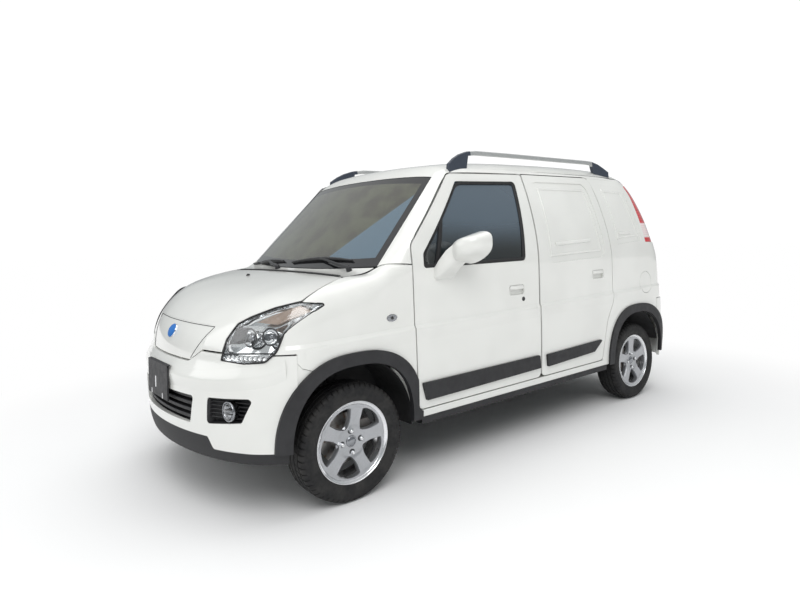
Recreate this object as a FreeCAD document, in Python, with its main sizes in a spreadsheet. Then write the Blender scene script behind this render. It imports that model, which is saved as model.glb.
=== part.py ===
import FreeCAD, Part
import Sketcher
import math
import os

# A small five-door panel van of the tall light-car type, front towards -Y, left side towards +X.
# Lengths are millimetres. "behind" is a distance behind the front axle, "height" one above the ground.

doc = FreeCAD.newDocument("panel_van")
Vector = FreeCAD.Vector
UP = Vector(0, 0, 1)
ALONG = Vector(0, 1, 0)
ACROSS = Vector(1, 0, 0)

# Driving dimensions
DIMENSIONS = [
    ("wheelbase", 2335),
    ("front_overhang", 607),
    ("rear_overhang", 448),
    ("half_width", 787),
    ("waist_step", 9),
    ("crease_height", 742),
    ("sill_height", 306),
    ("door_bottom_height", 346),
    ("belt_height", 1010),
    ("screen_base_height", 1030),
    ("roof_height", 1664),
    ("shut_gap", 6),
    ("seat_gap", 0.3),
    ("door_thickness", 50),
    ("door_flange", 8),
    ("panel_thickness", 12),
    ("roof_thickness", 22),
    ("glass_thickness", 5),
    ("tyre_radius", 266),
    ("tyre_width", 157),
    ("tyre_shoulder", 22),
    ("bead_radius", 172),
    ("rim_radius", 184),
    ("rim_width", 140),
    ("rim_wall", 5),
    ("hub_face_radius", 62),
    ("wheel_face", 750),
    ("spoke_count", 5),
    ("lug_count", 4),
    ("plate_bolt_spacing", 210),
    ("plate_bolt_hole", 3.2),
    ("stub_radius", 24),
    ("disc_radius", 116),
    ("disc_thickness", 14),
    ("drum_radius", 95),
    ("arch_opening", 345),
    ("arch_trim_width", 58),
    ("arch_trim_flare", 14),
    ("seat_width", 480),
    ("seat_length", 500),
    ("cushion_thickness", 130),
    ("seat_offset", 345),
    ("seat_height", 320),
    ("steering_wheel_radius", 185),
    ("steering_rim_radius", 15),
    ("rail_radius", 13),
]

sheet = doc.addObject("Spreadsheet::Sheet", "sizes")
for row, (alias, value) in enumerate(DIMENSIONS, start=1):
    sheet.set("A%d" % row, alias)
    sheet.set("B%d" % row, str(value))
    sheet.setAlias("B%d" % row, alias)
doc.recompute()


VALUES = {alias: float(sheet.get(alias)) for alias, value in DIMENSIONS}


def size(alias):
    return VALUES[alias]


FRONT_AXLE = size("front_overhang") - 0.5 * (
    size("front_overhang") + size("wheelbase") + size("rear_overhang"))
REAR_AXLE = FRONT_AXLE + size("wheelbase")
WHEEL_CENTRE = size("tyre_radius")
GAP = size("shut_gap")
SEAT_GAP = size("seat_gap")


def point(x, behind, height):
    return Vector(x, FRONT_AXLE + behind, height)


class Measure:
    """A length with the expression that gives it from the sheet's cells."""

    def __init__(self, value, text):
        self.value = value
        self.text = text

    def join(self, other, sign, value):
        return Measure(value, "(%s %s %s)" % (self.text, sign, measure(other).text))

    def __add__(self, other):
        return self.join(other, "+", self.value + measure(other).value)

    def __sub__(self, other):
        return self.join(other, "-", self.value - measure(other).value)

    def __mul__(self, other):
        return self.join(other, "*", self.value * measure(other).value)

    def __neg__(self):
        return Measure(-self.value, "(0 - %s)" % self.text)


def measure(number):
    return number if isinstance(number, Measure) else Measure(float(number), repr(float(number)))


def cell(alias):
    return Measure(size(alias), "sizes." + alias)


def bind(item, **properties):
    """Bind each property of the object to the expression of its measure."""
    for name, value in properties.items():
        item.setExpression(name.replace("__", "."), measure(value).text)
    return item


def place_at(item, x, y, z):
    return bind(item, Placement__Base__x=x, Placement__Base__y=y, Placement__Base__z=z)


front_axle = (cell("front_overhang") - cell("wheelbase") - cell("rear_overhang")) * 0.5
rear_axle = front_axle + cell("wheelbase")


# Curves through a few knots

def along(knots, place):
    """Smooth value at place through (place, value) knots, level slopes limited so that it never overshoots."""
    if place <= knots[0][0]:
        return knots[0][1]
    if place >= knots[-1][0]:
        return knots[-1][1]
    slopes = [(b[1] - a[1]) / (b[0] - a[0]) for a, b in zip(knots, knots[1:])]
    tangents = [slopes[0]]
    for before, after in zip(slopes, slopes[1:]):
        tangents.append(0.0 if before * after <= 0 else 2 * before * after / (before + after))
    tangents.append(slopes[-1])
    for i, (a, b) in enumerate(zip(knots, knots[1:])):
        if place <= b[0]:
            span = b[0] - a[0]
            t = (place - a[0]) / span
            return ((2 * t ** 3 - 3 * t ** 2 + 1) * a[1] + (t ** 3 - 2 * t ** 2 + t) * span * tangents[i]
                    + (3 * t ** 2 - 2 * t ** 3) * b[1] + (t ** 3 - t ** 2) * span * tangents[i + 1])
    return knots[-1][1]


def rounded_max(a, b, blend):
    overlap = max(blend - abs(a - b), 0.0)
    return max(a, b) + overlap * overlap / (4 * blend)


def mix(a, b, t):
    return a + (b - a) * t


# The outer skin is where outside() is zero

CORNER_START = 240
TAIL_CROWN = 21
ROOF_SEAM = 618
ROOF_END = 2452
GATE_BOTTOM = 706
BUMPER_TOP = 696
ROOF_CROWN = 22
ROOF_EDGE = 600

BUMPER_REACH = [(250, 568), (300, 584), (400, 595), (500, 599), (580, 597), (620, 590), (645, 578),
                (665, 564), (720, 554)]
NOSE_REACH = [(600, 566), (660, 562), (700, 555), (763, 541), (800, 528), (850, 502), (900, 465)]
TAIL_REACH = [(700, 2722), (850, 2715), (950, 2708), (1002, 2700), (1109, 2660), (1300, 2595),
              (1514, 2510), (1600, 2470), (1680, 2425)]
REAR_BUMPER_REACH = [(250, 2745), (400, 2760), (650, 2762), (720, 2758)]
BONNET_LINE = [(-620, 800), (-560, 845), (-470, 885), (-400, 908), (-300, 940), (-150, 985), (22, 1018),
               (120, 1030)]
ROOF_LINE = [(420, 1490), (500, 1540), (560, 1565), (603, 1582), (700, 1603), (833, 1622), (1079, 1640),
             (1500, 1656), (2000, 1664), (2300, 1652), (2450, 1622), (2550, 1580)]
SHOULDER_BLEND = [(-400, 130), (0, 130), (170, 60), (600, 60), (800, 90), (2300, 90)]


def crease(behind):
    return size("crease_height") + 0.0197 * (behind - 242)


def side_half_width(behind, height):
    """Half width of the body side: sill tuck, flare up to the crease, step in, upright waist, tumblehome."""
    flare = size("half_width")
    lip = crease(behind)
    if height <= lip:
        tuck = max(700.0 - height, 0.0) / 400
        return flare - 12 * tuck * tuck
    step = min((height - lip) / 16.0, 1.0)
    waist = flare - size("waist_step") * step * step * (3 - 2 * step)
    return waist - 0.0016 * max(height - size("belt_height"), 0.0) ** 1.8


def screen_base(x):
    return 85 + 73 * (x / 687.0) ** 2


def top_height(x, behind):
    bonnet = along(BONNET_LINE, behind) - 8 * (x / 580.0) ** 2
    screen = size("screen_base_height") + 1.063 * (behind - screen_base(x))
    roof = along(ROOF_LINE, behind) + size("roof_height") - 1664 - ROOF_CROWN * (abs(x) / ROOF_EDGE) ** 2.5
    below = max(bonnet, screen)
    return -rounded_max(-roof, -below, 50)


def outside(x, behind, height, front=NOSE_REACH, rear=TAIL_REACH, topped=True):
    """Signed distance, roughly, from the outer skin: negative inside."""
    half = side_half_width(behind, height)
    ahead = -behind - CORNER_START
    if ahead > 0:
        depth = along(front, height) - CORNER_START
        radius = math.hypot(x / half, ahead / depth)
        slope = math.hypot(x / half ** 2, ahead / depth ** 2) / radius
        side = (radius - 1) / slope
    else:
        side = abs(x) - half
    tail = behind - along(rear, height) - TAIL_CROWN * (1 - min(abs(x) / half, 1.2) ** 2)
    side = rounded_max(side, tail, 130)
    if not topped:
        return side
    top = (height - top_height(x, behind)) * 0.8
    return rounded_max(side, top, along(SHOULDER_BLEND, behind))


def slope_at(place, **ends):
    step = 1.0
    behind = place.y - FRONT_AXLE
    here = outside(place.x, behind, place.z, **ends)
    return here, Vector(
        (outside(place.x + step, behind, place.z, **ends) - here) / step,
        (outside(place.x, behind + step, place.z, **ends) - here) / step,
        (outside(place.x, behind, place.z + step, **ends) - here) / step)


def onto_skin(place, **ends):
    """The point of the skin near place, and the outward direction there."""
    for _ in range(12):
        value, slope = slope_at(place, **ends)
        place = place - slope * (value / max(slope.Length ** 2, 0.05))
    value, slope = slope_at(place, **ends)
    slope.normalize()
    return place, slope


def side_point(behind, height, **ends):
    """The side skin seen straight from the side, carried on over the windscreen and bonnet."""
    inside, beyond = 200.0, 900.0
    for _ in range(30):
        middle = 0.5 * (inside + beyond)
        if outside(middle, behind, height, topped=False, **ends) < 0:
            inside = middle
        else:
            beyond = middle
    return point(inside, behind, height)


# Building blocks

def even_knots(count, degree):
    spans = count - degree
    knots = list(range(spans + 1))
    return knots, [degree + 1] + [1] * (spans - 1) + [degree + 1]


def sharpened(row):
    """The row with its inner points moved out, so that a cubic curve steered by them runs through the old ones."""
    if len(row) < 4:
        return row
    moved = [row[i] - (row[i - 1] - row[i] * 2 + row[i + 1]) * (1.0 / 6) for i in range(1, len(row) - 1)]
    return [row[0]] + moved + [row[-1]]


def spline_surface(points):
    """Smooth surface close to a grid of points that never swings out between them."""
    rows, columns = len(points), len(points[0])
    points = [sharpened(row) for row in points]
    points = [list(row) for row in zip(*[sharpened(list(column)) for column in zip(*points)])]
    degree_u, degree_v = min(3, rows - 1), min(3, columns - 1)
    knots_u, mults_u = even_knots(rows, degree_u)
    knots_v, mults_v = even_knots(columns, degree_v)
    surface = Part.BSplineSurface()
    surface.buildFromPolesMultsKnots(points, mults_u, mults_v, knots_u, knots_v, False, False,
                                     degree_u, degree_v)
    return surface


def border(surface):
    u0, u1, v0, v1 = surface.bounds()
    return [surface.uIso(u0).toShape(), surface.uIso(u1).toShape(),
            surface.vIso(v0).toShape(), surface.vIso(v1).toShape()]


def solid_between(outer, inner):
    """Solid between two skins, each a list of point grids that share their border rows."""
    faces = []
    for strip_number, (outer_points, inner_points) in enumerate(zip(outer, inner)):
        outer_surface = spline_surface(outer_points)
        inner_surface = spline_surface(inner_points)
        faces += [outer_surface.toShape(), inner_surface.toShape()]
        first, last, start, end = zip(border(outer_surface), border(inner_surface))
        edges = [start, end]
        if strip_number == 0:
            edges.append(first)
        if strip_number == len(outer) - 1:
            edges.append(last)
        faces += [Part.makeRuledSurface(a, b) for a, b in edges]
    shell = Part.makeShell(faces)
    shell.sewShape()
    solid = Part.makeSolid(shell)
    if solid.Volume < 0:
        solid.reverse()
    return solid


def skin_panel(guide, thickness, sink=0.0, **ends):
    """Panel of the given thickness, sunk under the skin, over a grid of points near it."""
    thick = thickness if isinstance(thickness, list) else [thickness] * len(guide)
    outer, inner = [], []
    for row, depth in zip(guide, thick):
        pairs = [onto_skin(place, **ends) for place in row]
        outer.append([place - normal * sink for place, normal in pairs])
        inner.append([place - normal * (sink + depth) for place, normal in pairs])
    return solid_between([outer], [inner])


def side_levels(behind, low, high):
    """Heights of the three strips of a side panel: under the crease, over its step, above it."""
    lip = crease(behind)
    below = [mix(low, lip, t / 4.0) for t in range(5)]
    step = [lip, lip + 8, lip + 16]
    above = [mix(lip + 16, high, t / 8.0) for t in range(9)]
    return [below, step, above]


def side_slab(start, end, low, high, outer_depth, inner_depth, stations=9, **ends):
    """Slab under the side skin between two depths, straight in from the side."""
    outer, inner = [[], [], []], [[], [], []]
    for i in range(stations):
        behind = mix(start, end, i / (stations - 1.0))
        for strip, heights in enumerate(side_levels(behind, low, high)):
            skin = [side_point(behind, height, **ends) for height in heights]
            outer[strip].append([place - ACROSS * outer_depth for place in skin])
            inner[strip].append([place - ACROSS * inner_depth for place in skin])
    turn = [[list(rows) for rows in zip(*strip)] for strip in outer]
    turned_inner = [[list(rows) for rows in zip(*strip)] for strip in inner]
    return solid_between(turn, turned_inner)


def rounded_outline(corners):
    """Closed plane outline through (place, radius) corners, each corner an arc of its radius."""
    count = len(corners)
    edges, last = [], None
    starts = []
    for i, (corner, radius) in enumerate(corners):
        before = corners[i - 1][0]
        after = corners[(i + 1) % count][0]
        to_before = (before - corner).normalize()
        to_after = (after - corner).normalize()
        if radius <= 0:
            starts.append((corner, None, corner))
            continue
        half_turn = 0.5 * to_before.getAngle(to_after)
        reach = radius / math.tan(half_turn)
        bisector = (to_before + to_after).normalize()
        middle = corner + bisector * (radius / math.sin(half_turn) - radius)
        starts.append((corner + to_before * reach, middle, corner + to_after * reach))
    for i, (begin, middle, finish) in enumerate(starts):
        if middle is not None:
            edges.append(Part.Arc(begin, middle, finish).toShape())
        following = starts[(i + 1) % count][0]
        if (following - finish).Length > 1e-6:
            edges.append(Part.LineSegment(finish, following).toShape())
    return Part.Wire(edges)


def side_outline(corners):
    """Outline in the side view from (behind, height, radius) corners, drawn at the middle of the van."""
    return rounded_outline([(point(0, behind, height), radius) for behind, height, radius in corners])


def through_side(outline, grow=0.0, inner=150, outer=1000):
    """Prism straight through the left side with the outline made larger by grow."""
    wire = outline
    if grow:
        wire = outline.makeOffset2D(grow)
    face = Part.Face(wire)
    face.translate(ACROSS * inner)
    return face.extrude(ACROSS * (outer - inner))


def mirrored(shape):
    return shape.mirror(Vector(0, 0, 0), ACROSS)


def box(x0, x1, y0, y1, z0, z1):
    return Part.makeBox(x1 - x0, y1 - y0, z1 - z0, Vector(x0, y0, z0))


def tube_between(a, b, radius):
    return Part.makeCylinder(radius, (b - a).Length, a, b - a)


sub_parts = []


def part_feature(label, shape):
    """A sub-part whose form comes from the skin above."""
    feature = doc.addObject("Part::Feature", label)
    feature.Label = label
    feature.Shape = shape
    feature.Placement = FreeCAD.Placement()
    sub_parts.append(feature)
    return feature


def named(feature, label):
    feature.Label = label
    sub_parts.append(feature)
    return feature


def body_with_sketch(name, plane):
    body = doc.addObject("PartDesign::Body", name)
    return body, sketch_on(body, name + "_sketch", plane)


def sketch_on(body, name, plane):
    sketch = body.newObject("Sketcher::SketchObject", name)
    origin = [item for item in body.Origin.OriginFeatures if item.Role == plane][0]
    sketch.AttachmentSupport = [(origin, "")]
    sketch.MapMode = "FlatFace"
    return sketch


def draw_polygon(sketch, places):
    """Closed polygon in a sketch, every corner held by the measures of its two coordinates."""
    corners = [(measure(a), measure(b)) for a, b in places]
    first = sketch.GeometryCount
    count = len(corners)
    for i, (a, b) in enumerate(corners):
        c, d = corners[(i + 1) % count]
        sketch.addGeometry(Part.LineSegment(Vector(a.value, b.value, 0), Vector(c.value, d.value, 0)), False)
    for i, (a, b) in enumerate(corners):
        sketch.addConstraint(Sketcher.Constraint("Coincident", first + i, 2, first + (i + 1) % count, 1))
        for kind, length in (("DistanceX", a), ("DistanceY", b)):
            number = sketch.addConstraint(
                Sketcher.Constraint(kind, -1, 1, first + i, 1, length.value))
            sketch.setExpression("Constraints[%d]" % number, length.text)


def draw_circle(sketch, x, y, radius):
    x, y, radius = measure(x), measure(y), measure(radius)
    circle = sketch.addGeometry(Part.Circle(Vector(x.value, y.value, 0), UP, radius.value), False)
    for kind, length, ends in (("DistanceX", x, (-1, 1, circle, 3)), ("DistanceY", y, (-1, 1, circle, 3))):
        number = sketch.addConstraint(Sketcher.Constraint(kind, *ends, length.value))
        sketch.setExpression("Constraints[%d]" % number, length.text)
    number = sketch.addConstraint(Sketcher.Constraint("Radius", circle, radius.value))
    sketch.setExpression("Constraints[%d]" % number, radius.text)


# Doors

DOOR_BOTTOM = size("door_bottom_height")
FRONT_DOOR = [(346, DOOR_BOTTOM, 30), (335, 742, 900), (327, 1150, 70), (668, 1530, 60), (1262, 1556, 14),
              (1262, DOOR_BOTTOM, 30)]
REAR_DOOR = [(1274, DOOR_BOTTOM, 30), (1274, 1557, 14), (1968, 1571, 60), (2030, 1050, 500), (2032, 735, 120),
             (1950, 600, 200), (1893, DOOR_BOTTOM, 30)]
FRONT_WINDOW = [(396, 1034, 18), (396, 1108, 40), (705, 1488, 25), (1190, 1509, 25), (1150, 1040, 25)]
REAR_WINDOW = [(1346, 1012, 50), (1346, 1515, 40), (1895, 1525, 60), (1965, 1034, 60)]
QUARTER_WINDOW = [(2092, 1109, 30), (2042, 1527, 30), (2341, 1521, 40), (2436, 1133, 30)]
FLANGE_INSET = 22
GLASS_DEPTH = 12
EMBOSS_DEPTH = 5
EMBOSS_START = -2

front_door_outline = side_outline(FRONT_DOOR)
rear_door_outline = side_outline(REAR_DOOR)
front_window_outline = side_outline(FRONT_WINDOW)
rear_window_outline = side_outline(REAR_WINDOW)
quarter_window_outline = side_outline(QUARTER_WINDOW)


def door_panel(outline, start, end):
    """Door: a thin flange out to the shut line, and the box of the door inside it."""
    low, high = 330, 1585
    flange = side_slab(start, end, low, high, 0, size("door_flange"))
    flange = flange.common(through_side(outline))
    case = side_slab(start, end, low, high, size("door_flange"), size("door_thickness"))
    case = case.common(through_side(outline, -FLANGE_INSET))
    return flange.fuse(case)


def handle_recess(behind, height):
    """Shell recess of a flap handle, seen from the side."""
    recess = side_outline([(behind - 62, height - 28, 12), (behind - 62, height + 28, 12),
                           (behind + 62, height + 28, 12), (behind + 62, height - 28, 12)])
    return through_side(recess, 0, 762, 1000)


MIRROR_INNER, MIRROR_OUTER = 798, 994
MIRROR_GLASS_BEHIND, MIRROR_DEPTH = 574, 96
MIRROR_HEIGHT, MIRROR_MIDDLE = 168, 1133
MIRROR_TAPER = 0.06


def mirror_head():
    """Head of a door mirror: rounded sections from its inner to its outer end, flat towards the driver."""
    sections = []
    for turn in (-80, -66, -48, -25, 0, 25, 48, 66, 80):
        share = math.sin(math.radians(turn))
        full = math.cos(math.radians(turn)) ** 0.55
        x = mix(MIRROR_INNER, MIRROR_OUTER, 0.5 + 0.5 * share)
        half = 0.5 * MIRROR_HEIGHT * full * (1 - MIRROR_TAPER * share)
        front = MIRROR_GLASS_BEHIND - MIRROR_DEPTH * full
        sections.append(rounded_outline([
            (point(x, front, MIRROR_MIDDLE - 0.6 * half), 34 * full),
            (point(x, MIRROR_GLASS_BEHIND, MIRROR_MIDDLE - half), 12 * full),
            (point(x, MIRROR_GLASS_BEHIND, MIRROR_MIDDLE + half), 12 * full),
            (point(x, front, MIRROR_MIDDLE + 0.72 * half), 44 * full)]))
    return Part.makeLoft(sections, True, False)


def mirror_foot():
    """Foot that slopes up from the front corner of the window to the head."""
    sections = []
    for x, front, rear, low, high in ((764, 470, 606, 984, 1031), (800, 480, 590, 1010, 1062),
                                      (846, 496, 574, 1044, 1112)):
        sections.append(rounded_outline([(point(x, front, low), 10), (point(x, rear, low), 10),
                                         (point(x, rear, high), 10), (point(x, front, high), 10)]))
    return Part.makeLoft(sections, True, False)


front_door = door_panel(front_door_outline, 300, 1290).cut(through_side(front_window_outline))
front_door = front_door.cut(handle_recess(1069, 875))
front_glass = side_slab(380, 1210, 1000, 1530, GLASS_DEPTH, GLASS_DEPTH + size("glass_thickness"))
front_glass = front_glass.common(through_side(front_window_outline))

rear_door = door_panel(rear_door_outline, 1260, 2060).cut(handle_recess(1865, 919))
emboss = side_slab(1330, 1990, 990, 1545, EMBOSS_START, EMBOSS_DEPTH).common(through_side(rear_window_outline))
rear_door = rear_door.cut(emboss)

DIVIDER = [(478, 1030, 0), (494, 1030, 0), (569, 1350, 0), (553, 1350, 0)]
divider_bar = through_side(side_outline(DIVIDER))
front_glass = front_glass.cut(divider_bar)
front_door = front_door.fuse(side_slab(400, 700, 1020, 1400, 4, 22).common(divider_bar))
door_mirror = mirror_foot().cut(front_door).fuse(mirror_head())
door_mirror.translate(ACROSS * SEAT_GAP)
MOULDING_PROUD = 14
front_moulding_outline = side_outline([(389, 386, 6), (363, 474, 6), (1240, 478, 6), (1251, 401, 6)])
rear_moulding_outline = side_outline([(1318, 398, 6), (1309, 471, 6), (1883, 486, 6), (1790, 417, 6)])


def moulding(outline, start, end):
    strip = side_slab(start, end, 330, 800, -MOULDING_PROUD, -SEAT_GAP)
    return strip.common(through_side(outline))


for side, flip in (("left", False), ("right", True)):
    for label, shape in (("front_door_" + side, front_door), ("front_glass_" + side, front_glass),
                         ("door_mirror_" + side, door_mirror),
                         ("rear_door_" + side, rear_door),
                         ("front_moulding_" + side, moulding(front_moulding_outline, 340, 1270)),
                         ("rear_moulding_" + side, moulding(rear_moulding_outline, 1290, 1900))):
        part_feature(label, mirrored(shape) if flip else shape)


# Body sides: pillar and rail over the doors, sill, centre post and rear quarter

def pillar_strip():
    """Windscreen pillar running on into the rail over the doors and round to the tailgate."""
    screen_low, screen_high = Vector(689.5, 180, 1051.5), Vector(613.5, 596, 1500)
    lowers = [((0.0, 778, 321, 1060)), (0.09, 768, 322, 1152), (0.3355, 745, 402, 1250),
              (0.677, 700, 530, 1392), (1.0, 664, 640, 1516)]
    pairs = []
    for share, x, behind, height in lowers:
        upper = mix(screen_low, screen_high, share)
        pairs.append(((upper.x, upper.y, upper.z), (x, behind, height), 45))
    pairs.append(((606, 680, 1560), (650, 740, 1546), 55))
    for behind, height in ((1000, 1560), (1500, 1570), (2000, 1578), (2250, 1578), (2420, 1560)):
        pairs.append(((598, behind, 1605), (644, behind, height), 68))
    guide = []
    for upper, lower, _ in pairs:
        a = point(*upper)
        b = point(*lower)
        guide.append([a, a + (b - a) * 0.33, a + (b - a) * 0.67, b])
    strip = skin_panel(guide, [depth for _, _, depth in pairs])
    return strip.cut(box(0, ROOF_SEAM + 0.5 * SEAT_GAP, FRONT_AXLE + 625, FRONT_AXLE + 2600, 1400, 1700))


def quarter_skin():
    """Rear quarter from the door edge round the corner to the tailgate."""
    outer, inner = [[], [], []], [[], [], []]
    angles = [-30, -15, 0, 15, 28, 38, 44, 48, 52, 56, 60, 64]
    for angle in angles:
        direction = Vector(math.cos(math.radians(angle)), math.sin(math.radians(angle)), 0)
        near = along([(-30, 1900), (0, 2150), (40, 2600), (64, 2700)], angle)
        for strip, heights in enumerate(side_levels(near, 330, 1580)):
            skin = []
            for height in heights:
                inside, beyond = 100.0, 1100.0
                for _ in range(30):
                    middle = 0.5 * (inside + beyond)
                    place = point(300, 2150, height) + direction * middle
                    if outside(place.x, place.y - FRONT_AXLE, height) < 0:
                        inside = middle
                    else:
                        beyond = middle
                skin.append(point(300, 2150, height) + direction * inside)
            outer[strip].append(skin)
            inner[strip].append([place - direction * 20 for place in skin])
    outer = [[list(rows) for rows in zip(*strip)] for strip in outer]
    inner = [[list(rows) for rows in zip(*strip)] for strip in inner]
    return solid_between(outer, inner)


ARCH_EXPONENT = 2.5


def arch_outline(axle_behind, grow):
    """Wheel arch in the side view: a rounded square-shouldered arch that runs down past the sill."""
    half = size("arch_opening") - 30 + grow
    rise = 332 + grow
    centre = 300
    turns = [math.radians(a) for a in range(0, 181, 15)]
    places = []
    for turn in turns:
        c, s = math.cos(turn), math.sin(turn)
        places.append(point(0, axle_behind + half * math.copysign(abs(c) ** (2 / ARCH_EXPONENT), c),
                            centre + rise * abs(s) ** (2 / ARCH_EXPONENT)))
    curve = Part.BSplineCurve()
    curve.interpolate(places)
    low_rear = point(0, axle_behind + half, 150)
    low_front = point(0, axle_behind - half, 150)
    return Part.Wire([curve.toShape(), Part.LineSegment(places[-1], low_front).toShape(),
                      Part.LineSegment(low_front, low_rear).toShape(),
                      Part.LineSegment(low_rear, places[0]).toShape()])


def arch_prism(axle_behind, grow, inner=150):
    face = Part.Face(arch_outline(axle_behind, grow))
    face.translate(ACROSS * inner)
    return face.extrude(ACROSS * (1000 - inner))


rear_arch = arch_prism(size("wheelbase"), 0)
front_arch = arch_prism(0, 0)

GATE_EDGE = [(700, 620), (1050, 612), (1300, 585), (1610, 560)]


def tailgate_edge(height):
    return along(GATE_EDGE, height)


def gate_prism(grow):
    """Prism along the van with the outline of the tailgate made larger by grow."""
    corners = [(tailgate_edge(height) + grow, height) for height in (800, 950, 1100, 1250, 1400, 1550, 1700)]
    corners.insert(0, (tailgate_edge(700) + grow, GATE_BOTTOM - grow))
    right = [(-x, height) for x, height in reversed(corners)]
    wire = rounded_outline([(point(x, 2300, height), 0) for x, height in corners + right])
    return Part.Face(wire).extrude(ALONG * 700)


LAMP_SIDE = [(2404, 1536), (2480, 1120), (2900, 1108), (2900, 1545)]
lamp_wire = rounded_outline([(point(0, behind, height), 10) for behind, height in LAMP_SIDE])
tail_prism = Part.Face(lamp_wire).extrude(ACROSS * 1000)
FLAP = (2457, 826, 78)


def flap_groove():
    """Ring-shaped groove round the filler flap."""
    behind, height, radius = FLAP
    outer = Part.makeCylinder(radius + 1.5, 60, point(773, behind, height), ACROSS)
    return outer.cut(Part.makeCylinder(radius - 1.5, 60, point(773, behind, height), ACROSS))


FRAME_DEPTH = size("door_thickness") + 8
FRAME_INNER = FRAME_DEPTH + 38
SILL_BOTTOM = 282
FRAME_OUTLINE = [(246, 283, 0), (246, 1040, 0), (300, 1100, 0), (640, 1490, 0), (760, 1560, 0),
                 (2120, 1572, 0), (2120, 700, 0), (1960, 420, 0), (1960, 283, 0)]
FRONT_APERTURE = [(392, 372, 60), (378, 742, 900), (378, 1140, 60), (700, 1490, 60), (1222, 1510, 40),
                  (1222, 372, 60)]
REAR_APERTURE = [(1314, 372, 60), (1314, 1512, 40), (1925, 1520, 60), (1980, 1050, 400), (1985, 760, 100),
                 (1900, 600, 200), (1850, 372, 40)]


def side_frame():
    """Inner frame of the body side, under the doors: hinge pillar, centre post, rear post, rail and sill."""
    frame = side_slab(240, 2130, 283, 1580, FRAME_DEPTH, FRAME_INNER, 13)
    frame = frame.common(through_side(side_outline(FRAME_OUTLINE)))
    for aperture in (FRONT_APERTURE, REAR_APERTURE):
        frame = frame.cut(through_side(side_outline(aperture)))
    return frame


def wheel_bay(axle_behind, inner_x, radius, outer_x):
    return Part.makeCylinder(radius, outer_x - inner_x, point(inner_x, axle_behind, BAY_CENTRE), ACROSS)


BAY_RADIUS, BAY_WALL, BAY_CENTRE, BAY_INNER = 352, 4, 290, 440


def hinge_brackets(outline, start, end):
    """Two brackets out from the frame to the front face of a door's box."""
    brackets = []
    for height in (490, 720):
        block = box(700, 748, FRONT_AXLE + start, FRONT_AXLE + end, height - 25, height + 25)
        brackets.append(block.cut(through_side(outline, -FLANGE_INSET + 0.4)))
    return brackets


quarter = quarter_skin()
quarter = quarter.cut(rear_arch).cut(through_side(rear_door_outline, GAP))
quarter = quarter.cut(box(-10, 900, FRONT_AXLE + 1700, FRONT_AXLE + REAR_DOOR[-1][0] + GAP, 300, 1600))
quarter = quarter.cut(box(-10, 900, FRONT_AXLE + 2590, FRONT_AXLE + 2900, 300, BUMPER_TOP + GAP))
quarter = quarter.cut(gate_prism(GAP))
quarter = quarter.cut(Part.Face(lamp_wire.makeOffset2D(0.5)).extrude(ACROSS * 1000))
quarter = quarter.cut(flap_groove())
quarter = quarter.cut(side_slab(2060, 2460, 1080, 1545, -5, 4).common(through_side(quarter_window_outline)))
sill_box = box(600, 800, FRONT_AXLE + 330, FRONT_AXLE + 2020, size("sill_height"), size("door_bottom_height") - GAP)
sill = side_slab(330, 2020, 300, 1200, 0, FRAME_INNER).common(sill_box)
sill_foot = side_slab(330, 2020, 270, 1200, FRAME_DEPTH - 4, FRAME_INNER).common(
    box(600, 800, FRONT_AXLE + 330, FRONT_AXLE + 1960, SILL_BOTTOM, 310))
pillar = pillar_strip().cut(through_side(front_door_outline, GAP)).cut(through_side(rear_door_outline, GAP))
body_side = quarter.multiFuse([pillar, side_frame(), sill, sill_foot]
                              + hinge_brackets(front_door_outline, 330, 380)
                              + hinge_brackets(rear_door_outline, 1268, 1310))
body_side = body_side.cut(rear_arch).cut(front_arch)
for axle in (0, size("wheelbase")):
    body_side = body_side.cut(wheel_bay(axle, BAY_INNER, BAY_RADIUS + 1, 756))

# Panels that lie between guide lines on the skin


def mirrored_row(places):
    """Row of skin points across the van from the points of its left half, middle first."""
    left = [Vector(-place.x, place.y, place.z) for place in places[:0:-1]]
    return left + places


def prism_along(places, direction, radius, grow=0.0):
    """Prism along a direction whose section is the outline of the places seen along it."""
    direction = Vector(direction).normalize()
    middle = places[0]
    flat = [place - direction * (place - middle).dot(direction) for place in places]
    wire = rounded_outline([(place, radius) for place in flat])
    if grow:
        wire = wire.makeOffset2D(grow)
    face = Part.Face(wire)
    face.translate(direction * -250)
    return face.extrude(direction * 500)


# Headlamp outline on the skin: over the wing, along the bonnet, down the inner corner, under and back up

HEADLAMP = [(761, -133, 908), (728, -242, 922), (658, -329, 901), (581, -401, 864), (535, -440, 835),
            (510, -478, 770), (494, -497, 680), (615, -443, 672), (700, -390, 684), (735, -356, 726),
            (745, -328, 800), (768, -242, 859)]
HEADLAMP_VIEW = (0.72, -0.66, 0.22)
headlamp_places = [point(*place) for place in HEADLAMP]
lamp_hole = prism_along(headlamp_places, HEADLAMP_VIEW, 6, 0.7)
lamp_clearance = prism_along(headlamp_places, HEADLAMP_VIEW, 6, GAP)
lamp_form = prism_along(headlamp_places, HEADLAMP_VIEW, 6)


def patch(corners, rows, columns, thickness, sink=0.0, **ends):
    """Skin panel over the four-cornered patch with these corners, each row straight before it is put on."""
    a, b, c, d = [point(*corner) for corner in corners]
    guide = []
    for i in range(rows):
        start = mix(a, d, i / (rows - 1.0))
        end = mix(b, c, i / (rows - 1.0))
        guide.append([mix(start, end, j / (columns - 1.0)) for j in range(columns)])
    return skin_panel(guide, thickness, sink, **ends)


# Roof, windscreen and bonnet

SCREEN_EDGE = [(0, 96, 1032), (250, 104, 1034), (450, 130, 1040), (600, 160, 1046), (688.5, 180, 1051.5)]
HEADER_EDGE = [(0, 548, 1532), (250, 556, 1530), (420, 570, 1524), (540, 586, 1514), (612.5, 596, 1500)]


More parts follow.
